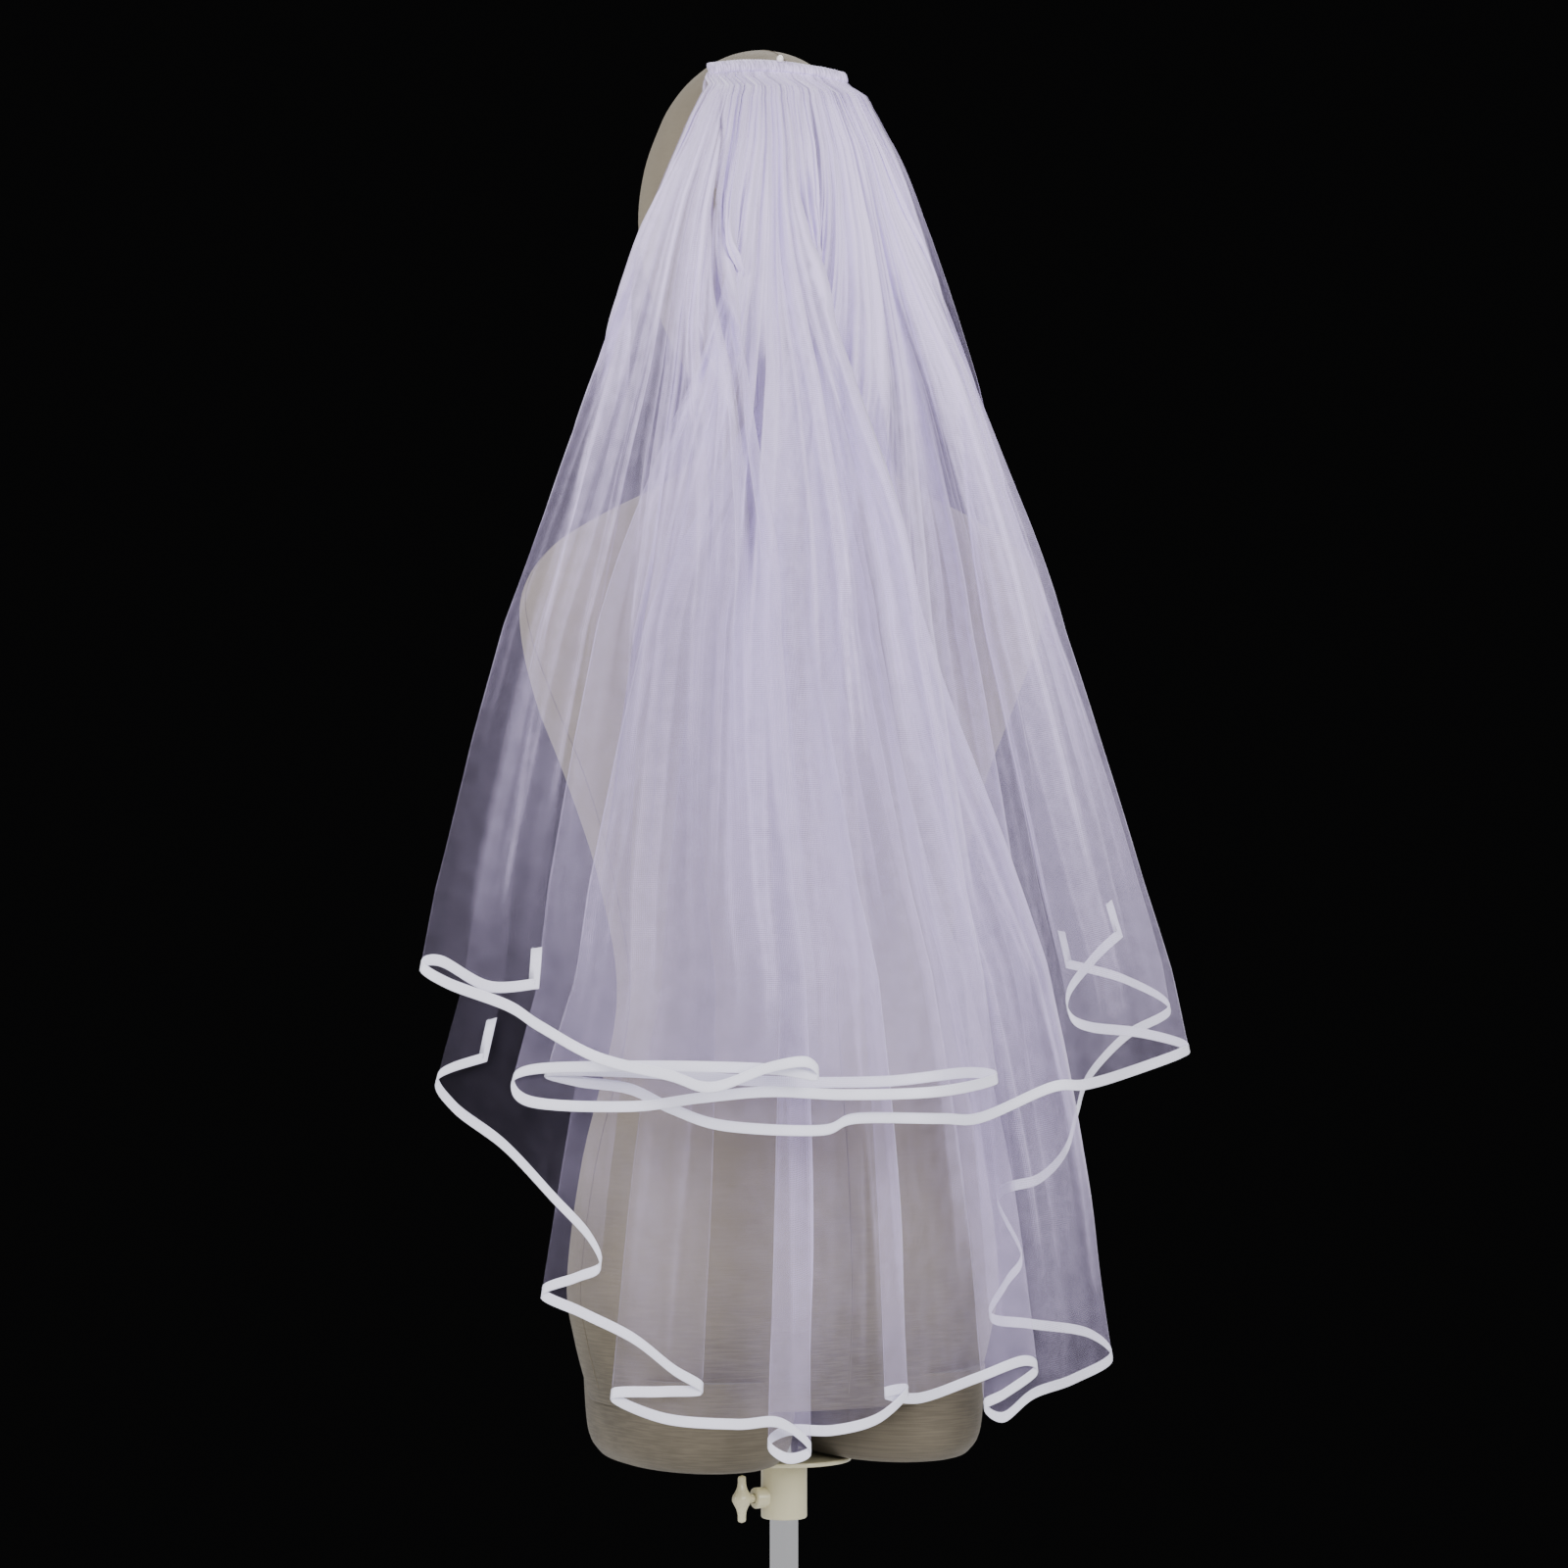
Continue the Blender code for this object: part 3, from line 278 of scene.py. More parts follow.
# Stand, as its solids are made
BASE_RADIUS = 170 * MM
BASE_THICK = 12 * MM
HUB_RADIUS = 30 * MM
HUB_TOP = 60 * MM
POLE_RADIUS = 9.5 * MM
POLE_TOP = 1.000
POLE_PLAY = 0.5 * MM
COLLAR_RADIUS = 15.5 * MM
COLLAR_BOTTOM = 0.706
COLLAR_TOP = 0.7449
FLANGE_RADIUS = 45.5 * MM
FLANGE_THICK = 3.0 * MM
FLANGE_TOP = 0.7482
SCREW_HEIGHT = 0.7205
SCREW_TURN = math.radians(93.0)
SCREW_RADIUS = 3.0 * MM
BOSS_RADIUS = 7.0 * MM
BOSS_REACH = 23.0 * MM
WING_SPAN = 32 * MM
WING_DEPTH = 14 * MM


def length(name, description, default):
    return FloatProperty(name=name, description=description, default=default, unit="LENGTH")


def colour(name, description, default):
    return FloatVectorProperty(name=name, description=description, default=default,
                               subtype="COLOR", size=3, min=0, max=1)


class VeilClothSettings(PropertyGroup):
    """Sizes and colours of the cloth."""

    upper_columns: IntProperty(name="Upper Columns", description="Points along the upper hem",
                               default=960)
    lower_columns: IntProperty(name="Lower Columns", description="Points along the lower hem",
                               default=780)
    rows: IntProperty(name="Rows", description="Points from the heading to the hem", default=84)
    cover: FloatProperty(
        name="Cover", description="Share of light that one flat layer of tulle stops",
        default=0.058, min=0.01, max=1.0, subtype="FACTOR")
    net_cell: length("Net Cell", "Width of one mesh of the net", 1.25 * MM)
    ribbon_width: length("Ribbon Width", "Width of the binding ribbon", 7 * MM)
    ribbon_thick: length("Ribbon Thickness", "Thickness of the folded ribbon", 0.8 * MM)
    stitch_pitch: length("Stitch Pitch", "Distance from one stitch to the next", 2.9 * MM)
    tulle_colour: colour("Tulle", "Colour of the net", (0.77, 0.66, 1.0))
    ribbon_colour: colour("Ribbon", "Colour of the satin ribbon", (0.86, 0.85, 1.0))


class VeilFormSettings(PropertyGroup):
    """Colours and fineness of the dress form and its stand."""

    sides: IntProperty(name="Sides", description="Points round the dress form", default=112)
    ring_steps: IntProperty(name="Ring Steps", description="Rings for each row of the table", default=6)
    canvas_colour: colour("Canvas", "Colour of the form's cover", (0.24, 0.205, 0.15))
    paint_colour: colour("Paint", "Colour of the flange and collar", (0.62, 0.575, 0.38))


class VeilStageSettings(PropertyGroup):
    """The floor, lights and backdrop."""

    floor_size: length("Floor", "Width of the floor", 4.6)
    backdrop: FloatProperty(
        name="Backdrop", description="Brightness of the backdrop that the camera sees", default=0.003,
        min=0.0, max=1.0)
    fill: FloatProperty(name="Fill", description="Brightness of the soft light all round", default=0.55)
    softbox: FloatProperty(name="Softbox", description="Power of each large softbox", default=62.0,
                           unit="POWER")


def smooth_columns(table, keys, at):
    """Columns of a table at positions counted in rows, on a smooth curve through its rows."""
    at = np.clip(at, 0, len(table) - 1)
    first = np.minimum(at.astype(int), len(table) - 2)
    t = at - first
    picked = []
    for key in keys:
        column = np.array([getattr(row, key) for row in table], dtype=float)
        a, b, c, d = (column[np.clip(first + step, 0, len(table) - 1)] for step in (-1, 0, 1, 2))
        picked.append(0.5 * (2 * b + (c - a) * t + (2 * a - 5 * b + 4 * c - d) * t ** 2
                             + (3 * b - a - 3 * c + d) * t ** 3))
    return picked


def drape_limits(tier, height):
    """The inner and outer limit of a tier behind the pole at some heights, in metres."""
    at = np.linspace(len(DRAPE) - 1, 0, 24 * (len(DRAPE) - 1) + 1)
    heights, near, far = smooth_columns(DRAPE, ("height", tier + "_in", tier + "_out"), at)
    return np.interp(height, heights, near) * MM, np.interp(height, heights, far) * MM


def smooth_step(value):
    value = np.clip(value, 0.0, 1.0)
    return value * value * (3.0 - 2.0 * value)


def spread(s, bulge=FAN_BULGE):
    """How much of its final width the veil has at the share s of its drop."""
    return s + bulge * np.sin(np.pi * s ** 0.7)


def sway(height):
    """How far both tiers hang over to the form's left at some heights, in metres."""
    rows = SWAY[::-1]
    return np.interp(height, [row.height for row in rows], [row.side * MM for row in rows])


def seat_point(side, down, lift):
    """Places on the comb's seat: to the side, down its slope, and off the head."""
    lift = lift - down * np.abs(down) / (2 * SEAT_ROUND)
    down = down + SEAT_ARCH * (side / HEADING_HALF) ** 2
    back = SEAT_BACK + down * math.cos(SEAT_SLOPE) + lift * math.sin(SEAT_SLOPE)
    height = SEAT_HEIGHT - down * math.sin(SEAT_SLOPE) + lift * math.cos(SEAT_SLOPE)
    return SEAT_SIDE + side, back, height


def fan_fold(side, height):
    """How far the fanned folds push both tiers back at one place, less their wrap forward."""
    drop = np.clip((DRAPE[0].height - height) / FAN_DROP, 0.0, FAN_DROP_MOST)
    reach = FAN_REACH_TOP + (FAN_REACH_HEM - FAN_REACH_TOP) * spread(np.minimum(drop, 1.0))
    wave = 0.0
    for fold in FAN_FOLDS:
        wave = wave + fold.share * np.sin(np.pi * fold.waves * side / reach + fold.phase)
    wrap = WRAP_DEPTH * np.minimum(drop, 1.0) * (side / WRAP_REACH) ** 2
    return FAN_DEPTH * np.minimum(drop / FAN_BEGIN, 1.0) * (0.5 + 0.5 * wave) - wrap


def place_edge(across, height, layer, tier):
    """Side and height in the world of places on a tier's edge, from their seen sizes."""
    depth = np.full_like(across, FIRST_DEPTH)
    side = -across * MM
    for _ in range(PLACE_ROUNDS):
        scale = 1.0 - depth / SIGHT_DISTANCE
        seen = across * MM * scale
        level = SIGHT_HEIGHT + (height * MM - SIGHT_HEIGHT) * scale
        near, far = drape_limits(tier, level)
        back = near + (far - near) * layer + fan_fold(side, level)
        side = 0.5 * side + 0.5 * (back * ACROSS[1] - seen) / -ACROSS[0]
        depth = side * TOWARDS[0] + back * TOWARDS[1]
    return side, level


def edge_stations(tier, columns):
    """Evenly spaced stations along a tier's hem, and the hem's length."""
    table = TIERS[tier].edge
    at = np.linspace(0, len(table) - 1, EDGE_STEPS * (len(table) - 1) + 1)
    across, height, layer = smooth_columns(table, ("across", "height", "layer"), at)
    side, level = place_edge(across, height, layer, tier)
    near, far = drape_limits(tier, level)
    back = near + (far - near) * layer
    steps = np.sqrt(np.diff(side) ** 2 + np.diff(back) ** 2 + np.diff(level) ** 2)
    length = np.concatenate(([0.0], np.cumsum(steps)))
    even = np.linspace(0.0, length[-1], columns)
    side, level, layer = (np.interp(even, length, values) for values in (side, level, layer))
    return side, level, layer, length[-1]


def drape_grid(tier, columns, shares):
    """The places of a tier's sheet, a row for each share of its drop, and its hem's length."""
    made = TIERS[tier]
    side_hem, level_hem, layer, hem_length = edge_stations(tier, columns)
    s = shares[:, None]
    share = np.linspace(0.0, 1.0, columns)[None, :]
    mean = side_hem.max() + (side_hem.min() - side_hem.max()) * share
    side_top = HEADING_HALF * (1.0 - 2.0 * share) * TIER_SHARE
    side_top, top_back, top_height = seat_point(side_top, TIER_TOP, made.lift)
    level = top_height + (level_hem[None, :] - top_height) * s
    turn = smooth_step((s - made.begin) / (made.full - made.begin))
    width = spread(s, BULGE_LEFT + (BULGE_RIGHT - BULGE_LEFT) * share)
    side = side_top + (mean - side_top) * width + (side_hem[None, :] - mean) * width * turn
    side = side + sway(level)
    near, far = drape_limits(tier, level)
    back = near + (far - near) * layer[None, :] + fan_fold(side, level)
    back = top_back + (back - top_back) * smooth_step(s / SEAT_LEAVE)
    return np.stack((side, back, level), axis=2), hem_length


def grid_normals(places):
    """Unit normals of a sheet, on the side that its columns and rows turn to."""
    along = np.gradient(places, axis=1)
    down = np.gradient(places, axis=0)
    normals = np.cross(down, along)
    size = np.linalg.norm(normals, axis=2, keepdims=True)
    return normals / np.maximum(size, 1e-9)


def flat_hem(s):
    """From 1 on the drape to 0 at the hem, where no crease or pleat lifts the cloth."""
    return 1.0 - smooth_step((s - FLAT_HEM_FROM) / FLAT_HEM_OVER)


def life_of(row, s, begin, end):
    """How much of a crease or pleat there is at the share s of the drop."""
    return smooth_step((s - row.begin) / begin) * (1.0 - smooth_step((s - row.end + end) / end))


def crease_depth(tier, columns, shares, flat_width):
    """How far each place of a tier is lifted by its creases and its small pleats."""
    along = np.linspace(0.0, flat_width, columns)[None, :]
    s = shares[:, None]
    depth = np.zeros((len(shares), columns))
    for crease in TIERS[tier].creases:
        shape = np.exp(-((along - crease.at * flat_width) / (crease.half * MM)) ** 2)
        depth += crease.depth * MM * life_of(crease, s, CREASE_BEGIN, CREASE_END) * shape
    chance = np.random.default_rng(PLEAT_SEED + len(tier) + columns)
    for k in range(PLEAT_COUNT):
        middle = (k + chance.uniform(0.15, 0.85)) / PLEAT_COUNT * flat_width
        half = chance.uniform(*PLEAT_HALF)
        size = chance.uniform(*PLEAT_DEPTH) * chance.choice((-1.0, 1.0))
        end = chance.uniform(0.12, 1.0)
        shape = np.exp(-((along - middle) / half) ** 2)
        depth += size * smooth_step(s / 0.02) * (1.0 - smooth_step(s / end)) * shape
    flat_sides = smooth_step(along / FLAT_SIDE) * smooth_step((flat_width - along) / FLAT_SIDE)
    return depth * flat_sides * flat_hem(s)


def row_reach(places):
    """How far along its row each place of a sheet lies, and the step from place to place."""
    steps = np.linalg.norm(np.diff(places, axis=1), axis=2)
    reach = np.concatenate((np.zeros((len(steps), 1)), np.cumsum(steps, axis=1)), axis=1)
    return reach, np.gradient(reach, axis=1)


def pleat_middle(pleat, s, reach):
    """How far along each row a pleat's middle lies, between the columns of the sheet."""
    drift = pleat.drift * (1.0 - np.exp(-s / pleat.over))
    column = (pleat.at + drift) * (reach.shape[1] - 1)
    whole = column.astype(int)
    middle = np.take_along_axis(reach, whole, axis=1)
    beyond = np.take_along_axis(reach, whole + 1, axis=1)
    return middle + (beyond - middle) * (column - whole)


def pleat_shapes(tier, reach, shares, step):
    """How many times over the cloth lies in its flat pleats, and how far they stand out."""
    s = shares[:, None]
    chance = np.random.default_rng(PLEAT_SEED * 7 + len(tier) + reach.shape[1])
    pleats = list(TIERS[tier].pleats)
    for k in range(FINE_PLEATS):
        at = (k + chance.uniform(0.1, 0.9)) / FINE_PLEATS
        begin = chance.uniform(0.0, 0.25) ** 1.5
        end = begin + chance.uniform(*FINE_LENGTH)
        half = chance.uniform(*FINE_HALF)
        pleats.append(Pleat(at, begin, end, half, chance.choice(FINE_LAYERS)))
    layers = np.ones(reach.shape)
    lift = np.zeros(reach.shape)
    soft = np.maximum(PLEAT_SOFT, 0.9 * step / MM)
    for pleat in pleats:
        off = np.abs(reach - pleat_middle(pleat, s, reach)) / MM
        half = pleat.half * (PLEAT_TOP + (1.0 - PLEAT_TOP) * smooth_step(s / PLEAT_OPENS))
        life = life_of(pleat, s, PLEAT_BEGIN, PLEAT_END)
        inside = 1.0 - smooth_step((off - half + soft) / (2 * soft))
        edge = np.exp(-((off - half) / soft) ** 2) * PLEAT_EDGE * (pleat.layers > 1.0)
        layers *= 1.0 + life * ((pleat.layers - 1.0) * inside + edge)
        rise = np.minimum(half, PLEAT_RISE) * np.sign(pleat.layers - 1.0)
        dome = np.sqrt(np.maximum(1.0 - (off / (half * PLEAT_ROUND)) ** 2, 0.0))
        lift += life * rise * MM * dome
    return layers, lift * flat_hem(s)


def gather_amount(tier, step, shares, hem_length):
    """How many layers of the cut cloth each place of the sheet stands for, but for its pleats."""
    columns = step.shape[1]
    amount = (hem_length / (columns - 1)) / np.maximum(step, 0.02 * MM)
    amount = np.clip(amount, GATHER_LEAST, GATHER_MOST) ** GATHER_POWER
    chance = np.random.default_rng(PLEAT_SEED * 3 + len(tier) + columns)
    streak = np.zeros(columns)
    for span, weight in STREAKS:
        noise = chance.normal(size=columns + 4 * span)
        window = np.hanning(4 * span + 1)
        window /= np.sqrt((window ** 2).sum())
        streak += weight * np.convolve(noise, window, mode="valid")
    fade = 1.0 - STREAK_FADE * smooth_step(shares / 0.9)[:, None]
    fullness = np.interp(np.linspace(0.0, 1.0, columns), *zip(*FULLNESS)) * TIERS[tier].density
    return amount * fullness * np.clip(1.0 + STREAK_SHARE * streak * fade, *STREAK_LIMITS)


def hem_shares(rows):
    return np.linspace(0.0, 1.0, rows) ** ROW_POWER


def up_from_hem(places):
    """The direction up the cloth at each point of the hem."""
    up = places[-2] - places[-1]
    return up / np.linalg.norm(up, axis=1, keepdims=True)


def link_mesh(name, mesh):
    piece = bpy.data.objects.new(name, mesh)
    bpy.context.scene.collection.objects.link(piece)
    return piece


def quad_faces(rows, columns, round_rows=False, round_columns=False):
    """Corner numbers of the faces of a grid, which may close round on itself."""
    down = np.arange(rows if round_rows else rows - 1)
    right = np.arange(columns if round_columns else columns - 1)
    j, i = np.meshgrid(down, right, indexing="ij")
    below, beside = (j + 1) % rows, (i + 1) % columns
    corners = np.stack((j * columns + i, below * columns + i, below * columns + beside,
                        j * columns + beside), axis=2)
    return corners.reshape(-1, 4)


def grid_piece(name, places, **ends):
    """A piece from a grid of places, joined into four-sided faces and shaded smooth."""
    rows, columns = places.shape[:2]
    mesh = bpy.data.meshes.new(name)
    mesh.from_pydata(places.reshape(-1, 3).tolist(), [], quad_faces(rows, columns, **ends).tolist())
    mesh.shade_smooth()
    return link_mesh(name, mesh)


@contextmanager
def editing(mesh):
    """A mesh opened for work on its faces, and written back at the end."""
    bm = bmesh.new()
    bm.from_mesh(mesh)
    yield bm
    bm.to_mesh(mesh)
    bm.free()


def lofted(name, grid):
    """A piece through rings of places, closed at its first and last ring."""
    piece = grid_piece(name, grid, round_columns=True)
    rings, sides = grid.shape[:2]
    with editing(piece.data) as bm:
        bm.verts.ensure_lookup_table()
        for first in (0, (rings - 1) * sides):
            bm.faces.new([bm.verts[first + k] for k in range(sides)])
        bmesh.ops.recalc_face_normals(bm, faces=bm.faces)
    return piece


def shade_round(piece, degrees):
    """Shades a piece smooth, but for its edges that turn by more than some degrees."""
    piece.data.shade_smooth()
    piece.data.set_sharp_from_angle(angle=math.radians(degrees))


def set_flat_map(mesh, flat):
    """Stores the place of each point on the flat cut, in metres, as a UV map."""
    corners = np.empty(len(mesh.loops), dtype=np.int32)
    mesh.loops.foreach_get("vertex_index", corners)
    layer = mesh.uv_layers.new(name="cut")
    layer.data.foreach_set("uv", flat.reshape(-1, 2)[corners].astype(np.float32).ravel())


def set_cloth_map(piece, places, flat_width, gather):
    """Gives a sheet its flat cut as a UV map in metres, and its gathering as an attribute."""
    down = np.linalg.norm(np.diff(places, axis=0), axis=2).mean(axis=1)
    down = np.concatenate(([0.0], np.cumsum(down)))
    across = np.linspace(0.0, flat_width, places.shape[1])
    set_flat_map(piece.data, np.stack(np.broadcast_arrays(across[None, :], down[:, None]), axis=2))
    store = piece.data.attributes.new("gather", "FLOAT", "POINT")
    store.data.foreach_set("value", gather.astype(np.float32).ravel())


def ride_in(piece, body):
    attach(piece, body)


def finish_piece(piece, body, material, slot, *nodes):
    piece.data.materials.clear()
    piece.data.materials.append(material)
    ride_in(piece, body)
    if nodes:
        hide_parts(*nodes)
    return piece


def baked_mesh(piece):
    """Replaces a piece's mesh by what its modifiers make, and removes them."""
    evaluated = piece.evaluated_get(bpy.context.evaluated_depsgraph_get())
    mesh = bpy.data.meshes.new_from_object(evaluated)
    mesh.name = piece.name
    piece.modifiers.clear()
    piece.data = mesh
    return piece


class NodeMaker:
    """Adds and links the nodes of one tree."""

    def __init__(self, tree):
        self.tree = tree

    def add(self, kind, inputs=None, **settings):
        node = self.tree.nodes.new(kind)
        for name, value in settings.items():
            setattr(node, name, value)
        for key, value in (inputs or {}).items():
            self.put(node.inputs[key], value)
        return node

    def put(self, socket, value):
        if isinstance(value, bpy.types.NodeSocket):
            self.tree.links.new(value, socket)
        else:
            socket.default_value = value

    def math(self, operation, a, b=0.0, clamp=False):
        return self.add("ShaderNodeMath", {0: a, 1: b}, operation=operation, use_clamp=clamp).outputs[0]

    def soft_range(self, value, low, high, to_low=0.0, to_high=1.0):
        node = self.add("ShaderNodeMapRange", {"Value": value, "From Min": low, "From Max": high,
                                               "To Min": to_low, "To Max": to_high},
                        interpolation_type="SMOOTHSTEP")
        return node.outputs["Result"]

    def mix_colour(self, share, first, second):
        node = self.add("ShaderNodeMix", {0: share, 6: first, 7: second}, data_type="RGBA")
        return node.outputs[2]

    def noise(self, place, scale, detail=2.0, roughness=0.5, flat=False):
        values = {"Vector": place, "Scale": scale, "Detail": detail, "Roughness": roughness}
        node = self.add("ShaderNodeTexNoise", values, noise_dimensions="2D" if flat else "3D")
        return node.outputs["Fac"]


def node_group(name, kind, inputs, outputs, fill):
    """The node group of this name, which is made and filled the first time."""
    if name in bpy.data.node_groups:
        return bpy.data.node_groups[name]
    tree = bpy.data.node_groups.new(name, kind)
    for socket, socket_kind, value in inputs:
        made = tree.interface.new_socket(socket, in_out="INPUT", socket_type="NodeSocket" + socket_kind)
        if value is not None:
            made.default_value = value
    for socket, socket_kind in outputs:
        tree.interface.new_socket(socket, in_out="OUTPUT", socket_type="NodeSocket" + socket_kind)
    make = NodeMaker(tree)
    fill(make, make.add("NodeGroupInput").outputs, make.add("NodeGroupOutput").inputs)
    return tree


def fill_net(make, given, out):
    """Six-sided net: how much more or less than its mean each place of the tulle covers."""
    cells = make.add("ShaderNodeTexVoronoi",
                     {"Vector": given["Place"], "Scale": given["Cells"], "Randomness": 0.22},
                     feature="DISTANCE_TO_EDGE", voronoi_dimensions="2D")
    thread = make.soft_range(cells.outputs["Distance"], 0.02, 0.22, 1.0, 0.0)
    slub = make.noise(given["Place"], 70.0, 3.0, 0.6, flat=True)
    swing = make.math("MULTIPLY", make.math("SUBTRACT", thread, 0.36), given["Contrast"])
    cloud = make.soft_range(slub, 0.3, 0.7, -0.16, 0.16)
    cover = make.math("ADD", make.math("ADD", swing, cloud), 1.0)
    make.put(out["Cover"], make.math("MAXIMUM", cover, 0.05))
    make.put(out["Thread"], thread)


def fill_weave(make, given, out):
    """Plain weave round an upright body: thread height, and slow stains and slubs."""
    parts = make.add("ShaderNodeSeparateXYZ", {0: given["Place"]}).outputs
    around = make.math("MULTIPLY", make.math("ARCTAN2", parts["X"], parts["Y"]), given["Radius"])
    threads = make.math("MULTIPLY", given["Threads"], math.pi)
    warp = make.math("SINE", make.math("MULTIPLY", around, threads))
    weft = make.math("SINE", make.math("MULTIPLY", parts["Z"], threads))
    height = make.math("MULTIPLY", make.math("ABSOLUTE", warp), make.math("ABSOLUTE", weft))
    make.put(out["Height"], height)
    stain = make.noise(given["Place"], 7.0, 5.0, 0.62)
    make.put(out["Stain"], make.soft_range(stain, 0.35, 0.68))
    flat = make.add("ShaderNodeCombineXYZ", {0: make.math("MULTIPLY", around, 40.0),
                                             1: make.math("MULTIPLY", parts["Z"], 900.0)})
    slub = make.noise(flat.outputs[0], 1.0, flat=True)
    make.put(out["Slub"], make.soft_range(slub, 0.35, 0.7))


def fill_scuffs(make, given, out):
    """Small scuffs and dust on a hard finish."""
    fine = make.noise(given["Place"], given["Scale"], 6.0, 0.7)
    make.put(out["Scuff"], make.soft_range(fine, 0.52, 0.72))
    make.put(out["Dust"], make.soft_range(make.noise(given["Place"], 11.0, 3.0), 0.4, 0.7))


# Shader groups: the inputs with their usual values, the outputs, and what fills each group
SHADER_GROUPS = {
    "tulle net": ([("Place", "Vector", None), ("Cells", "Float", 800.0), ("Contrast", "Float", 0.8)],
                  [("Cover", "Float"), ("Thread", "Float")], fill_net),
    "plain weave": ([("Place", "Vector", None), ("Threads", "Float", 1400.0), ("Radius", "Float", 0.14)],
                    [("Height", "Float"), ("Stain", "Float"), ("Slub", "Float")], fill_weave),
    "scuffs": ([("Place", "Vector", None), ("Scale", "Float", 60.0)],
               [("Scuff", "Float"), ("Dust", "Float")], fill_scuffs),
}


class MaterialMaker(NodeMaker):
    """Makes one material, its Principled shader and the nodes that feed it."""

    def __init__(self, name, **settings):
        self.material = bpy.data.materials.new(name)
        self.material.use_nodes = True
        super().__init__(self.material.node_tree)
        self.shader = self.tree.nodes["Principled BSDF"].inputs
        for socket, value in settings.items():
            self.shader[socket.replace("_", " ").title().replace("Ior", "IOR")].default_value = value

    def place(self):
        return self.add("ShaderNodeTexCoord").outputs["Object"]

    def group(self, name, place, **values):
        """The outputs of a shader group at a place, with some of its inputs set."""
        tree = node_group(name, "ShaderNodeTree", *SHADER_GROUPS[name])
        return self.add("ShaderNodeGroup", {"Place": place, **values}, node_tree=tree).outputs

    def paint(self, share, first, second):
        self.put(self.shader["Base Color"], self.mix_colour(share, first, second))

    def bump(self, strength, distance, height):
        values = {"Strength": strength, "Distance": distance, "Height": height}
        self.put(self.shader["Normal"], self.add("ShaderNodeBump", values).outputs[0])


def shade(colour, share=1.0):
    return (colour[0] * share, colour[1] * share, colour[2] * share, 1.0)


def tulle_material(cloth):
    """See-through net that closes up where it gathers and where it turns edge on."""
    make = MaterialMaker("tulle", roughness=0.75, sheen_weight=0.55, sheen_roughness=0.45,
                         specular_ior_level=0.15)
    cut = make.add("ShaderNodeUVMap", uv_map="cut").outputs["UV"]
    net = make.group("tulle net", cut, Cells=1.0 / cloth.net_cell, Contrast=0.9)
    gather = make.add("ShaderNodeAttribute", attribute_name="gather").outputs["Fac"]
    facing = make.add("ShaderNodeLayerWeight", {"Blend": 0.5}).outputs["Facing"]
    upright = make.math("MAXIMUM", make.math("SUBTRACT", 1.0, facing), 0.14)
    layers = make.math("DIVIDE", gather, upright)
    open_share = make.math("SUBTRACT", 1.0, make.math("MULTIPLY", net["Cover"], cloth.cover))
    alpha = make.math("SUBTRACT", 1.0, make.math("POWER", open_share, layers), clamp=True)
    make.put(make.shader["Alpha"], alpha)
    make.paint(net["Thread"], shade(cloth.tulle_colour, 0.94), shade(cloth.tulle_colour))
    make.bump(0.12, 0.2 * MM, net["Thread"])
    return make.material


def heading_material(cloth):
    """Many layers of tulle packed together: white with fine shadows between them."""
    make = MaterialMaker("gathered tulle", roughness=0.8, sheen_weight=0.5,
                         specular_ior_level=0.15)
    squeeze = make.add("ShaderNodeMapping", {"Vector": make.place(), "Scale": (1.0, 0.12, 0.12)})
    folds = make.noise(squeeze.outputs[0], 900.0, 3.0, 0.6)
    shadow = make.soft_range(folds, 0.38, 0.6)
    make.paint(shadow, shade(cloth.tulle_colour, 0.62), shade(cloth.tulle_colour))
    make.bump(0.5, 0.3 * MM, folds)
    return make.material


def ribbon_material(cloth):
    """Bright satin with fine crosswise ribs."""
    make = MaterialMaker("satin ribbon", sheen_weight=0.3, anisotropic=0.4)
    cut = make.add("ShaderNodeUVMap", uv_map="cut").outputs["UV"]
    ribs = make.add("ShaderNodeTexWave", {"Vector": cut, "Scale": 520.0, "Distortion": 0.6,
                                          "Detail": 1.0},
                    wave_type="BANDS", bands_direction="X").outputs["Fac"]
    share = make.soft_range(make.noise(cut, 26.0, flat=True), 0.3, 0.7, 0.0, 0.7)
    make.paint(share, shade(cloth.ribbon_colour), shade(cloth.ribbon_colour, 0.93))
    make.put(make.shader["Roughness"], make.soft_range(ribs, 0.0, 1.0, 0.32, 0.44))
    make.bump(0.2, 0.08 * MM, ribs)
    return make.material


def thread_material(cloth):
    make = MaterialMaker("sewing thread", roughness=0.6)
    make.paint(make.noise(make.place(), 900.0), shade(cloth.ribbon_colour, 0.8),
               shade(cloth.ribbon_colour, 0.97))
    return make.material


def canvas_material(form):
    """Cream linen stretched over the form, stained, and darker towards its foot by painted shade."""
    make = MaterialMaker("linen canvas", sheen_weight=0.12, specular_ior_level=0.2)
    place = make.place()
    weave = make.group("plain weave", place)
    height = make.add("ShaderNodeSeparateXYZ", {0: place}).outputs["Z"]
    # Painted shade: from 1.05 m down to the foot the canvas is mixed towards a darker copy of its colour.
    # The added stain noise is the canvas's own.
    low = make.soft_range(height, 1.05, 0.74, 0.0, 0.75)
    stain_and_painted_shade = make.math("ADD", make.math("MULTIPLY", weave["Stain"], 0.35), low, clamp=True)
    cover = make.mix_colour(stain_and_painted_shade, shade(form.canvas_colour), shade(form.canvas_colour, 0.36))
    slub = make.math("MULTIPLY", weave["Slub"], 0.16)
    make.paint(slub, cover, shade(form.canvas_colour, 1.25))
    make.put(make.shader["Roughness"], make.soft_range(weave["Height"], 0.0, 1.0, 0.95, 0.82))
    make.bump(0.35, 0.25 * MM, weave["Height"])
    return make.material


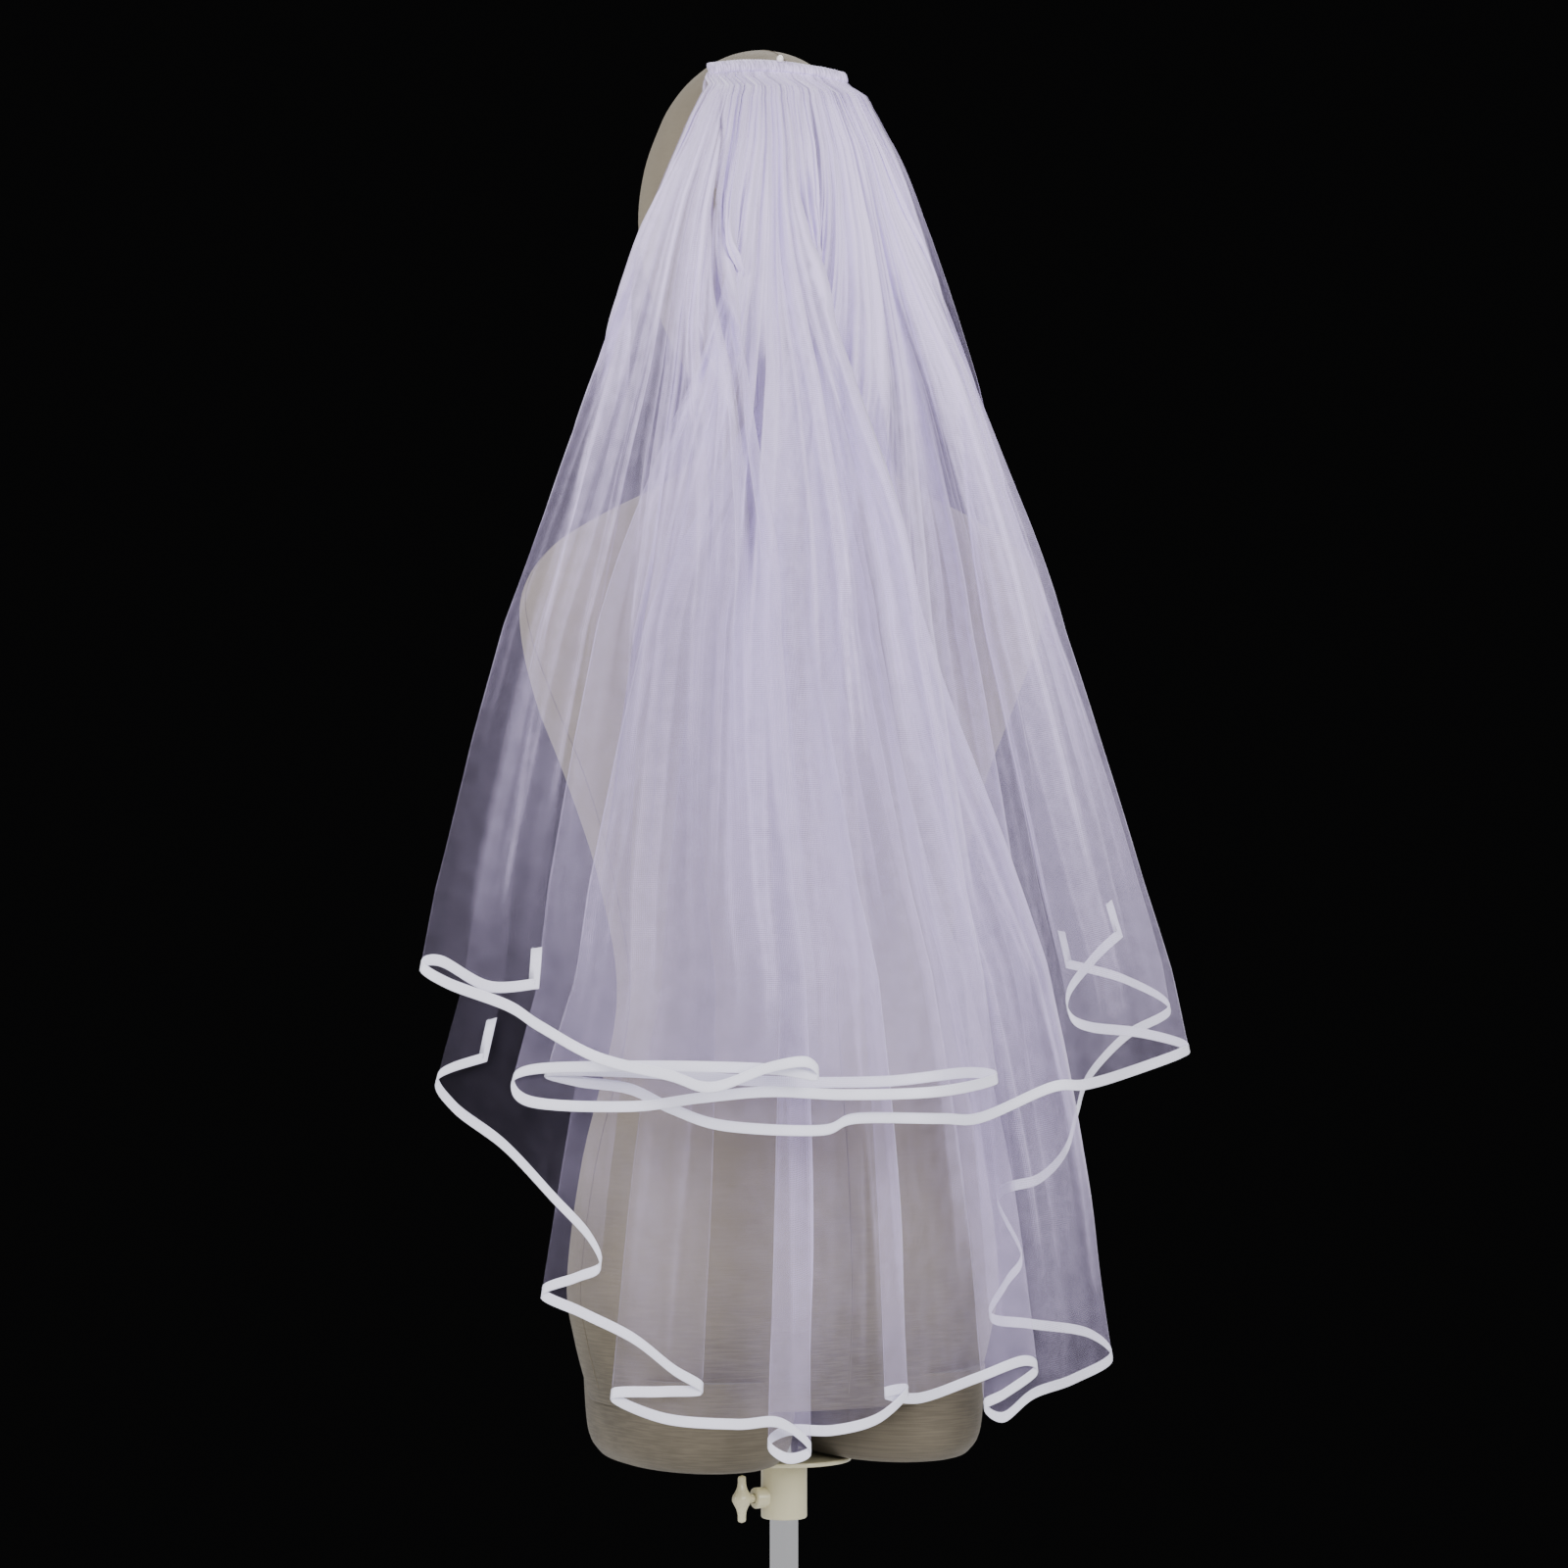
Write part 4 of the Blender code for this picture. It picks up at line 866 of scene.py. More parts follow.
def seam_material(form):
    make = MaterialMaker("canvas seam", roughness=0.95)
    make.paint(make.noise(make.place(), 600.0), shade(form.canvas_colour, 0.42),
               shade(form.canvas_colour, 0.7))
    return make.material


def hard_material(name, colour, scuffed, roughness, worn_roughness, **settings):
    """A hard finish with scuffs in its gloss and a little dust."""
    make = MaterialMaker(name, **settings)
    wear = make.group("scuffs", make.place())
    make.paint(make.math("MULTIPLY", wear["Dust"], scuffed), shade(colour), shade(colour, 0.8))
    make.put(make.shader["Roughness"],
             make.soft_range(wear["Scuff"], 0.0, 1.0, roughness, worn_roughness))
    make.bump(0.05, 0.1 * MM, wear["Scuff"])
    return make.material


def ribbon_path(places, width):
    """Outer and inner points of the ribbon: down one side, along the hem, up the other."""
    up = up_from_hem(places)
    hem_outer = places[-1]
    hem_inner = hem_outer + up * width
    sides = []
    first = np.searchsorted(hem_shares(places.shape[0]), SIDE_RIBBON_FROM)
    for column, step in ((0, 1), (-1, -1)):
        outer = places[first:-2, column]
        row = places[first:-2, ::step][:, :40]
        run = row[:, 1:] - row[:, :1]
        reach = np.linalg.norm(run, axis=2)
        far = np.argmax(reach > width * 1.4, axis=1)
        toward = run[np.arange(len(far)), np.where(far == 0, 38, far)]
        toward /= np.linalg.norm(toward, axis=1, keepdims=True)
        sides.append((outer, outer + toward * width))
    for column, beside in ((0, 1), (-1, -2)):
        inward = places[-1, beside] - places[-1, column]
        hem_inner[column] = hem_outer[column] + (up[column] + inward / np.linalg.norm(inward)) * width
    outer = np.concatenate((sides[0][0], hem_outer, sides[1][0][::-1]))
    inner = np.concatenate((sides[0][1], hem_inner, sides[1][1][::-1]))
    return outer, inner


def ribbon_frame(outer, inner):
    """Directions off the ribbon's face along its path."""
    along = np.gradient(0.5 * (outer + inner), axis=0)
    normal = np.cross(along, inner - outer)
    size = np.linalg.norm(normal, axis=1, keepdims=True)
    return normal / np.maximum(size, 1e-9)


def make_ribbon(name, places, cloth, material):
    """A folded satin ribbon all round a tier's free edges, thin and rounded at its fold."""
    width, half = cloth.ribbon_width, cloth.ribbon_thick / 2
    outer, inner = ribbon_path(places, width)
    normal = ribbon_frame(outer, inner)
    across = inner - outer
    profile = [(0.0, 0.0), (0.03, 0.62), (0.12, 0.95), (0.35, 1.0), (0.65, 0.94), (0.88, 1.0),
               (0.97, 0.86), (1.0, 0.3)]
    loop = profile + [(share, -thick) for share, thick in reversed(profile[1:])]
    rings = [outer + across * share + normal * (half * thick) for share, thick in loop]
    grid = np.stack(rings, axis=1)
    piece = lofted(name, grid)
    steps = np.linalg.norm(np.diff(outer, axis=0), axis=1)
    length = np.concatenate(([0.0], np.cumsum(steps)))
    flat = np.empty((grid.shape[0], grid.shape[1], 2))
    flat[..., 0] = length[:, None]
    flat[..., 1] = np.array([share for share, _ in loop])[None, :] * width
    set_flat_map(piece.data, flat)
    piece.data.shade_smooth()
    piece.data.materials.append(material)
    return piece, outer, inner, normal


def edge_lines(name, lines):
    """An object of bare edges along some lines, for the node trees that sew on it."""
    places, edges = [], []
    for line in lines:
        start = len(places)
        places.extend(line.tolist())
        edges.extend((k, k + 1) for k in range(start, len(places) - 1))
    mesh = bpy.data.meshes.new(name)
    mesh.from_pydata(places, edges, [])
    return link_mesh(name, mesh)


def stitch_tree():
    """Node tree that sews a running stitch along the edges it is given."""
    if "running stitch" in bpy.data.node_groups:
        return bpy.data.node_groups["running stitch"]
    tree = bpy.data.node_groups.new("running stitch", "GeometryNodeTree")
    for socket, kind, value in (("Path", "NodeSocketGeometry", None),
                                ("Stitch Pitch", "NodeSocketFloat", 2.9 * MM),
                                ("Stitch Length", "NodeSocketFloat", 2.1 * MM),
                                ("Thread Radius", "NodeSocketFloat", 0.16 * MM),
                                ("Thread", "NodeSocketMaterial", None)):
        made = tree.interface.new_socket(socket, in_out="INPUT", socket_type=kind)
        if value is not None:
            made.default_value = value
    tree.interface.new_socket("Stitches", in_out="OUTPUT", socket_type="NodeSocketGeometry")
    make = NodeMaker(tree)
    start, end = make.add("NodeGroupInput"), make.add("NodeGroupOutput")
    line = make.add("GeometryNodeMeshToCurve", {"Mesh": start.outputs["Path"]})
    even = make.add("GeometryNodeResampleCurve", {"Curve": line.outputs[0]}, mode="LENGTH")
    make.put(even.inputs["Length"], start.outputs["Stitch Pitch"])
    stitch = make.add("GeometryNodeMeshUVSphere", {"Segments": 6, "Rings": 4, "Radius": 1.0})
    turn = make.add("FunctionNodeAlignRotationToVector", axis="Z")
    make.put(turn.inputs["Vector"], make.add("GeometryNodeInputTangent").outputs[0])
    half = make.math("MULTIPLY", start.outputs["Stitch Length"], 0.5)
    size = make.add("ShaderNodeCombineXYZ", {0: start.outputs["Thread Radius"],
                                             1: start.outputs["Thread Radius"], 2: half})
    sewn = make.add("GeometryNodeInstanceOnPoints", {"Points": even.outputs[0],
                                                     "Instance": stitch.outputs[0],
                                                     "Rotation": turn.outputs[0],
                                                     "Scale": size.outputs[0]})
    real = make.add("GeometryNodeRealizeInstances", {0: sewn.outputs[0]})
    done = make.add("GeometryNodeSetMaterial", {"Geometry": real.outputs[0],
                                                "Material": start.outputs["Thread"]})
    make.put(end.inputs[0], done.outputs[0])
    return tree


def cord_tree():
    """Node tree that lays a thin round cord along the edges it is given."""
    if "laid cord" in bpy.data.node_groups:
        return bpy.data.node_groups["laid cord"]
    tree = bpy.data.node_groups.new("laid cord", "GeometryNodeTree")
    for socket, kind, value in (("Path", "NodeSocketGeometry", None),
                                ("Cord Radius", "NodeSocketFloat", 0.5 * MM),
                                ("Finish", "NodeSocketMaterial", None)):
        made = tree.interface.new_socket(socket, in_out="INPUT", socket_type=kind)
        if value is not None:
            made.default_value = value
    tree.interface.new_socket("Cord", in_out="OUTPUT", socket_type="NodeSocketGeometry")
    make = NodeMaker(tree)
    start, end = make.add("NodeGroupInput"), make.add("NodeGroupOutput")
    line = make.add("GeometryNodeMeshToCurve", {"Mesh": start.outputs["Path"]})
    even = make.add("GeometryNodeResampleCurve", {"Curve": line.outputs[0], "Length": 6 * MM},
                    mode="LENGTH")
    ring = make.add("GeometryNodeCurvePrimitiveCircle", {"Resolution": 8,
                                                         "Radius": start.outputs["Cord Radius"]})
    tube = make.add("GeometryNodeCurveToMesh", {"Curve": even.outputs[0],
                                                "Profile Curve": ring.outputs[0],
                                                "Fill Caps": True})
    real = make.add("GeometryNodeRealizeInstances", {0: tube.outputs[0]})
    done = make.add("GeometryNodeSetMaterial", {"Geometry": real.outputs[0],
                                                "Material": start.outputs["Finish"]})
    make.put(end.inputs[0], done.outputs[0])
    return tree


def run_tree(piece, tree, values):
    """Runs a node tree on a piece with some of its inputs set, and keeps the plain mesh."""
    modifier = piece.modifiers.new(tree.name, "NODES")
    modifier.node_group = tree
    for item in tree.interface.items_tree:
        if item.item_type == "SOCKET" and item.in_out == "INPUT" and item.name in values:
            modifier[item.identifier] = values[item.name]
    return baked_mesh(piece)


def make_tier(tier, cloth):
    """One tier with its ribbon and the ribbon's stitches."""
    columns = cloth.upper_columns if tier == "upper" else cloth.lower_columns
    shares = hem_shares(cloth.rows)
    smooth, hem_length = drape_grid(tier, columns, shares)
    reach, step = row_reach(smooth)
    layers, lift = pleat_shapes(tier, reach, shares, step)
    lift += crease_depth(tier, columns, shares, hem_length)
    places = smooth + grid_normals(smooth) * lift[..., None]
    gather = gather_amount(tier, step, shares, hem_length) * layers
    ribbon, outer, inner, normal = make_ribbon(tier + "_satin_ribbon", smooth, cloth,
                                               ribbon_material(cloth))
    up = up_from_hem(smooth)
    places[-1] = smooth[-1] + up * (cloth.ribbon_width * 0.8)
    places[-2] = 0.5 * (places[-1] + places[-3])
    sheet = grid_piece(tier + "_tulle_tier", places)
    set_cloth_map(sheet, places, hem_length, gather)
    finish_piece(sheet, FORM_BODY, tulle_material(cloth), "tulle", "veil_" + tier + "_tier")
    finish_piece(ribbon, FORM_BODY, ribbon.data.materials[0], "ribbon", tier + "_ribbon_edge")
    lines = []
    for face in (1, -1):
        lift = cloth.ribbon_thick / 2 * 0.98 * face
        lines.append(outer + (inner - outer) * 0.84 + normal * lift)
    stitches = edge_lines(tier + "_ribbon_stitches", lines)
    run_tree(stitches, stitch_tree(), {"Stitch Pitch": cloth.stitch_pitch,
                                       "Thread": thread_material(cloth)})
    stitches.data.shade_smooth()
    ride_in(stitches, FORM_BODY)
    return sheet, ribbon, stitches, hem_length


class VEIL_OT_upper_tier(Operator):
    """Drape the upper tier of tulle with its ribbon and stitches"""

    bl_idname = "veil.upper_tier"
    bl_label = "Upper Tier"

    def execute(self, context):
        sheet, ribbon, stitches, width = make_tier("upper", context.scene.veil_cloth)
        return {"FINISHED"}


class VEIL_OT_lower_tier(Operator):
    """Drape the lower tier of tulle with its ribbon and stitches"""

    bl_idname = "veil.lower_tier"
    bl_label = "Lower Tier"

    def execute(self, context):
        sheet, ribbon, stitches, width = make_tier("lower", context.scene.veil_cloth)
        return {"FINISHED"}


def heading_ruck(chance, count):
    """Uneven rucks along the heading, from 0 in a valley to 1 on a crest."""
    crests = np.cumsum(chance.uniform(0.6, 1.5, count))
    crests = crests / crests[-1]
    at = np.linspace(0.0, 1.0, 12 * count + 1)
    phase = np.interp(at, np.concatenate(([0.0], crests)), np.arange(count + 1))
    size = np.interp(at, np.concatenate(([0.0], crests)), chance.uniform(0.45, 1.0, count + 1))
    return at, (0.5 - 0.5 * np.cos(2 * np.pi * phase)) * size


class VEIL_OT_heading(Operator):
    """Gather both tiers into the rucked heading on the comb"""

    bl_idname = "veil.heading"
    bl_label = "Gathered Heading"

    def execute(self, context):
        cloth = context.scene.veil_cloth
        chance = np.random.default_rng(PLEAT_SEED + 5)
        at, ruck = heading_ruck(chance, 46)
        side = HEADING_HALF * (2 * at - 1)
        rings = []
        profile = 20
        wander = np.interp(at, np.linspace(0, 1, 15), chance.uniform(-0.5, 0.5, 15)) * MM
        for n in range(profile):
            turn = 2 * np.pi * n / profile
            down = BAND_START + BAND_DEEP * (0.5 - 0.5 * np.cos(turn)) + wander * np.cos(turn)
            fullness = 0.80 + 0.20 * ruck
            lift = BAND_LIFT + BAND_THICK * (0.5 + 0.5 * np.sin(turn) * fullness)
            rings.append(np.stack(seat_point(side, down, lift), axis=1))
        grid = np.stack(rings, axis=1)
        band = lofted("rucked_heading", grid)
        band.data.shade_smooth()
        finish_piece(band, FORM_BODY, heading_material(cloth), "tulle", "gathered_heading")
        lines = []
        for down_share in (0.30, 0.62):
            down = np.full_like(side, BAND_START + BAND_DEEP * down_share)
            turn = np.arccos(1 - 2 * down_share)
            lift = BAND_LIFT + BAND_THICK * (0.5 + 0.5 * np.sin(turn) * (0.84 + 0.18 * ruck))
            lines.append(np.stack(seat_point(side * 0.985, down, lift), axis=1))
        sewing = edge_lines("heading_stitches", lines)
        run_tree(sewing, stitch_tree(), {"Stitch Pitch": 2.4 * MM, "Stitch Length": 1.7 * MM,
                                         "Thread Radius": 0.14 * MM,
                                         "Thread": thread_material(cloth)})
        sewing.data.shade_smooth()
        ride_in(sewing, FORM_BODY)
        return {"FINISHED"}


class VEIL_OT_comb_and_pin(Operator):
    """Finish the comb and set the pearl head of the pin"""

    bl_idname = "veil.comb_and_pin"
    bl_label = "Comb and Pin"

    def execute(self, context):
        clear = hard_material("clear comb", (0.86, 0.87, 0.88),
                              0.2, 0.16, 0.35, transmission_weight=0.6, ior=1.49)
        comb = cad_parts["comb"]
        comb.data.materials.clear()
        comb.data.materials.append(clear)
        low, high = (Vector(corner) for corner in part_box("pin_head"))
        middle = (low + high) / 2
        radius = (high.x - low.x) / 2
        bm = bmesh.new()
        bmesh.ops.create_uvsphere(bm, u_segments=36, v_segments=24, radius=radius)
        bmesh.ops.translate(bm, verts=bm.verts, vec=middle)
        mesh = bpy.data.meshes.new("pearl_pin_head")
        bm.to_mesh(mesh)
        bm.free()
        mesh.shade_smooth()
        pearl = link_mesh("pearl_pin_head", mesh)
        gloss = hard_material("pearl", (0.93, 0.90, 0.87), 0.15, 0.14, 0.25, coat_weight=0.8,
                              coat_roughness=0.08, sheen_weight=0.2)
        finish_piece(pearl, FORM_BODY, gloss, "pearl", "pin_head")
        return {"FINISHED"}


def form_rings(table, steps, sides, middle=0.0):
    """Rings of places round a body, smooth from row to row of its table."""
    at = np.linspace(0, len(table) - 1, steps * (len(table) - 1) + 1)
    height, wide, deep, forward = smooth_columns(table, FormRow._fields, at)
    turn = np.linspace(0.0, 2 * np.pi, sides, endpoint=False)
    c = np.sign(np.cos(turn)) * np.abs(np.cos(turn)) ** RING_ROUND
    s = np.sign(np.sin(turn)) * np.abs(np.sin(turn)) ** RING_ROUND
    x = middle + wide[:, None] * MM * c[None, :]
    y = deep[:, None] * MM * s[None, :] - forward[:, None] * MM
    return np.stack((x, y, np.broadcast_to(height[:, None], x.shape)), axis=2)


def join_with(piece, other, operation):
    """Joins or cuts a piece with another one, which is then removed."""
    change = piece.modifiers.new(operation.lower(), "BOOLEAN")
    change.operation = operation
    change.object = other
    change.solver = "EXACT"
    baked_mesh(piece)
    bpy.data.objects.remove(other, do_unlink=True)
    return piece


def plane_lines(piece, point, direction, low, high):
    """Where a flat cut through a piece meets its surface, as edges between two heights."""
    bm = bmesh.new()
    bm.from_mesh(piece.data)
    cut = bmesh.ops.bisect_plane(bm, geom=bm.verts[:] + bm.edges[:] + bm.faces[:], plane_co=point,
                                 plane_no=direction, dist=1e-6)
    edges = [item for item in cut["geom_cut"] if isinstance(item, bmesh.types.BMEdge)]
    kept = [edge for edge in edges if all(low <= vert.co.z <= high for vert in edge.verts)]
    numbers, places, pairs = {}, [], []
    for edge in kept:
        pair = []
        for vert in edge.verts:
            key = tuple(round(value, 6) for value in vert.co)
            if key not in numbers:
                numbers[key] = len(places)
                places.append(vert.co[:])
            pair.append(numbers[key])
        pairs.append(tuple(pair))
    bm.free()
    return places, pairs


class VEIL_OT_dress_form(Operator):
    """Cover the smooth limbless dress form in canvas with its seams"""

    bl_idname = "veil.dress_form"
    bl_label = "Dress Form"

    def execute(self, context):
        settings = context.scene.veil_form
        canvas = canvas_material(settings)
        form = lofted("canvas_form", form_rings(FORM_ROWS, settings.ring_steps, settings.sides))
        for side in (1, -1):
            rings = form_rings(STUMP_ROWS, settings.ring_steps, 64, side * STUMP_OUT)
            join_with(form, lofted("stump", rings), "UNION")
        shade_round(form, 50)
        seams = []
        for point, direction, low, high in (((0, 0, 0), (1, 0, 0), 0.80, 1.72),
                                            ((0, 0.004, 0), (0, 1, 0.0), 0.80, 1.36)):
            seams.append(plane_lines(form, point, direction, low, high))
        places, edges = [], []
        for seam_places, seam_edges in seams:
            start = len(places)
            places.extend(seam_places)
            edges.extend((a + start, b + start) for a, b in seam_edges)
        mesh = bpy.data.meshes.new("canvas_seams")
        mesh.from_pydata(places, edges, [])
        seam = link_mesh("canvas_seams", mesh)
        run_tree(seam, cord_tree(), {"Cord Radius": 0.45 * MM, "Finish": seam_material(settings)})
        seam.data.shade_smooth()
        finish_piece(form, FORM_BODY, canvas, "canvas", "dress_form")
        ride_in(seam, FORM_BODY)
        return {"FINISHED"}


def turned_piece(name, profile, sides=96):
    """A turned piece from a closed outline of radius and height."""
    turn = np.linspace(0.0, 2 * np.pi, sides, endpoint=False)
    rings = []
    for radius, height in profile:
        rings.append(np.stack((radius * np.cos(turn), radius * np.sin(turn), np.full(sides, height)),
                              axis=1))
    piece = grid_piece(name, np.stack(rings), round_columns=True, round_rows=True)
    with editing(piece.data) as bm:
        bmesh.ops.remove_doubles(bm, verts=bm.verts, dist=1e-6)
        bmesh.ops.dissolve_degenerate(bm, edges=bm.edges, dist=1e-7)
        bmesh.ops.recalc_face_normals(bm, faces=bm.faces)
    shade_round(piece, 35)
    return piece


def rounded_corner(radius, height, size, start, steps=5):
    """Points of a rounded edge whose arc begins at the given angle and turns a quarter down."""
    points = []
    for k in range(steps + 1):
        turn = math.radians(start) - math.pi / 2 * k / steps
        points.append((radius + size * math.cos(turn), height + size * math.sin(turn)))
    return points


class VEIL_OT_stand(Operator):
    """Turn the pole, collar, flange, hub and base, and shape the wing screw"""

    bl_idname = "veil.stand"
    bl_label = "Stand"

    def execute(self, context):
        settings = context.scene.veil_form
        paint = hard_material("cream paint", settings.paint_colour, 0.35, 0.32, 0.55,
                              coat_weight=0.25)
        chrome = hard_material("chrome", (0.78, 0.79, 0.81), 0.25, 0.09, 0.22, metallic=1.0)
        self.make_base(paint)
        self.make_pole(chrome)
        self.make_collar(paint)
        self.make_wing_screw(paint)
        return {"FINISHED"}

    def make_base(self, paint):
        floor = BASE_THICK + 0.3 * MM
        bore = POLE_RADIUS + POLE_PLAY
        edge = 4 * MM
        plate = turned_piece("round_base", [(0.0, BASE_THICK)]
                             + rounded_corner(BASE_RADIUS - edge, BASE_THICK - edge, edge, 90)
                             + [(BASE_RADIUS, 0.6 * MM), (BASE_RADIUS - 0.6 * MM, 0.0), (0.0, 0.0)], 144)
        finish_piece(plate, "base", paint, "paint", "base_plate")
        hub = turned_piece("base_socket", [(bore, HUB_TOP)]
                           + rounded_corner(HUB_RADIUS * 0.60, HUB_TOP - 2 * MM, 2 * MM, 90)
                           + [(HUB_RADIUS * 0.70, HUB_TOP - 9 * MM), (HUB_RADIUS * 0.74, floor + 14 * MM),
                              (HUB_RADIUS * 0.82, floor + 8 * MM)]
                           + rounded_corner(HUB_RADIUS - 2 * MM, floor + 3 * MM, 2 * MM, 90)
                           + [(HUB_RADIUS, floor), (bore, floor)])
        finish_piece(hub, "base", paint, "paint", "base_hub")

    def make_pole(self, chrome):
        floor = BASE_THICK + 0.3 * MM
        pole = turned_piece("chrome_pole", [(0.0, POLE_TOP)]
                            + rounded_corner(POLE_RADIUS - 1 * MM, POLE_TOP - 1 * MM, 1 * MM, 90)
                            + [(POLE_RADIUS, floor), (0.0, floor)])
        finish_piece(pole, "pole", chrome, "chrome", "pole")

    def make_collar(self, paint):
        bore = POLE_RADIUS + POLE_PLAY
        top, under = FLANGE_TOP, FLANGE_TOP - FLANGE_THICK
        flange = turned_piece("flange", [(bore, top)]
                              + rounded_corner(FLANGE_RADIUS - 1.2 * MM, top - 1.2 * MM, 1.2 * MM, 90)
                              + rounded_corner(FLANGE_RADIUS - 1.2 * MM, under + 1.2 * MM, 1.2 * MM, 0)
                              + [(bore, under)])
        finish_piece(flange, FORM_BODY, paint, "paint", "flange_plate")
        edge = 1.5 * MM
        collar = turned_piece("clamp_collar", [(bore, COLLAR_TOP), (COLLAR_RADIUS, COLLAR_TOP)]
                              + rounded_corner(COLLAR_RADIUS - edge, COLLAR_BOTTOM + edge, edge, 0)
                              + [(bore, COLLAR_BOTTOM)])
        boss = turned_piece("boss", [(0.0, BOSS_REACH)]
                            + rounded_corner(BOSS_RADIUS - 1.2 * MM, BOSS_REACH - 1.2 * MM, 1.2 * MM, 90)
                            + [(BOSS_RADIUS, bore + 2 * MM), (0.0, bore + 2 * MM)], 64)
        lay_on_screw(boss)
        join_with(collar, boss, "UNION")
        hole = turned_piece("hole", [(0.0, BOSS_REACH + 2 * MM), (SCREW_RADIUS + 0.4 * MM,
                                                                 BOSS_REACH + 2 * MM),
                                     (SCREW_RADIUS + 0.4 * MM, POLE_RADIUS - 1 * MM),
                                     (0.0, POLE_RADIUS - 1 * MM)], 48)
        lay_on_screw(hole)
        join_with(collar, hole, "DIFFERENCE")
        shade_round(collar, 35)
        finish_piece(collar, FORM_BODY, paint, "paint", "collar")

    def make_wing_screw(self, paint):
        """A moulded wing knob: a round middle with two tapered ears."""
        rings = []
        steps = 40
        for k in range(steps + 1):
            share = 2 * k / steps - 1
            rise = WING_SPAN / 2 * share
            ear = abs(share)
            middle = math.exp(-(ear / 0.36) ** 2)
            end = math.sqrt(max(1.0 - max((ear - 0.88) / 0.12, 0.0) ** 2, 0.0))
            deep = (0.42 + 0.58 * middle) * WING_DEPTH / 2 * max(end, 0.02)
            thick = (1.6 * MM + 3.6 * MM * middle) * max(end, 0.02)
            ring = []
            for n in range(28):
                turn = 2 * math.pi * n / 28
                ring.append((thick * math.sin(turn), rise,
                             BOSS_REACH + 2 * MM + WING_DEPTH / 2 + deep * math.cos(turn)))
            rings.append(ring)
        wing = lofted("wing_knob", np.array(rings))
        shank = turned_piece("shank", [(0.0, BOSS_REACH + 6 * MM), (SCREW_RADIUS, BOSS_REACH + 6 * MM),
                                       (SCREW_RADIUS, POLE_RADIUS + 0.3 * MM),
                                       (0.0, POLE_RADIUS + 0.3 * MM)], 48)
        join_with(wing, shank, "UNION")
        lay_on_screw(wing)
        shade_round(wing, 60)
        finish_piece(wing, "clamp", paint, "paint", "wing_screw")


def lay_on_screw(piece):
    """Turns a piece that stands on +Z along the clamp screw's line, with its +Y upright."""
    out = Vector((math.sin(SCREW_TURN), -math.cos(SCREW_TURN), 0.0))
    upright = Vector((0, 0, 1))
    beside = upright.cross(out)
    for vert in piece.data.vertices:
        x, y, z = vert.co
        vert.co = beside * x + upright * y + out * z + Vector((0, 0, SCREW_HEIGHT))
    piece.data.update()


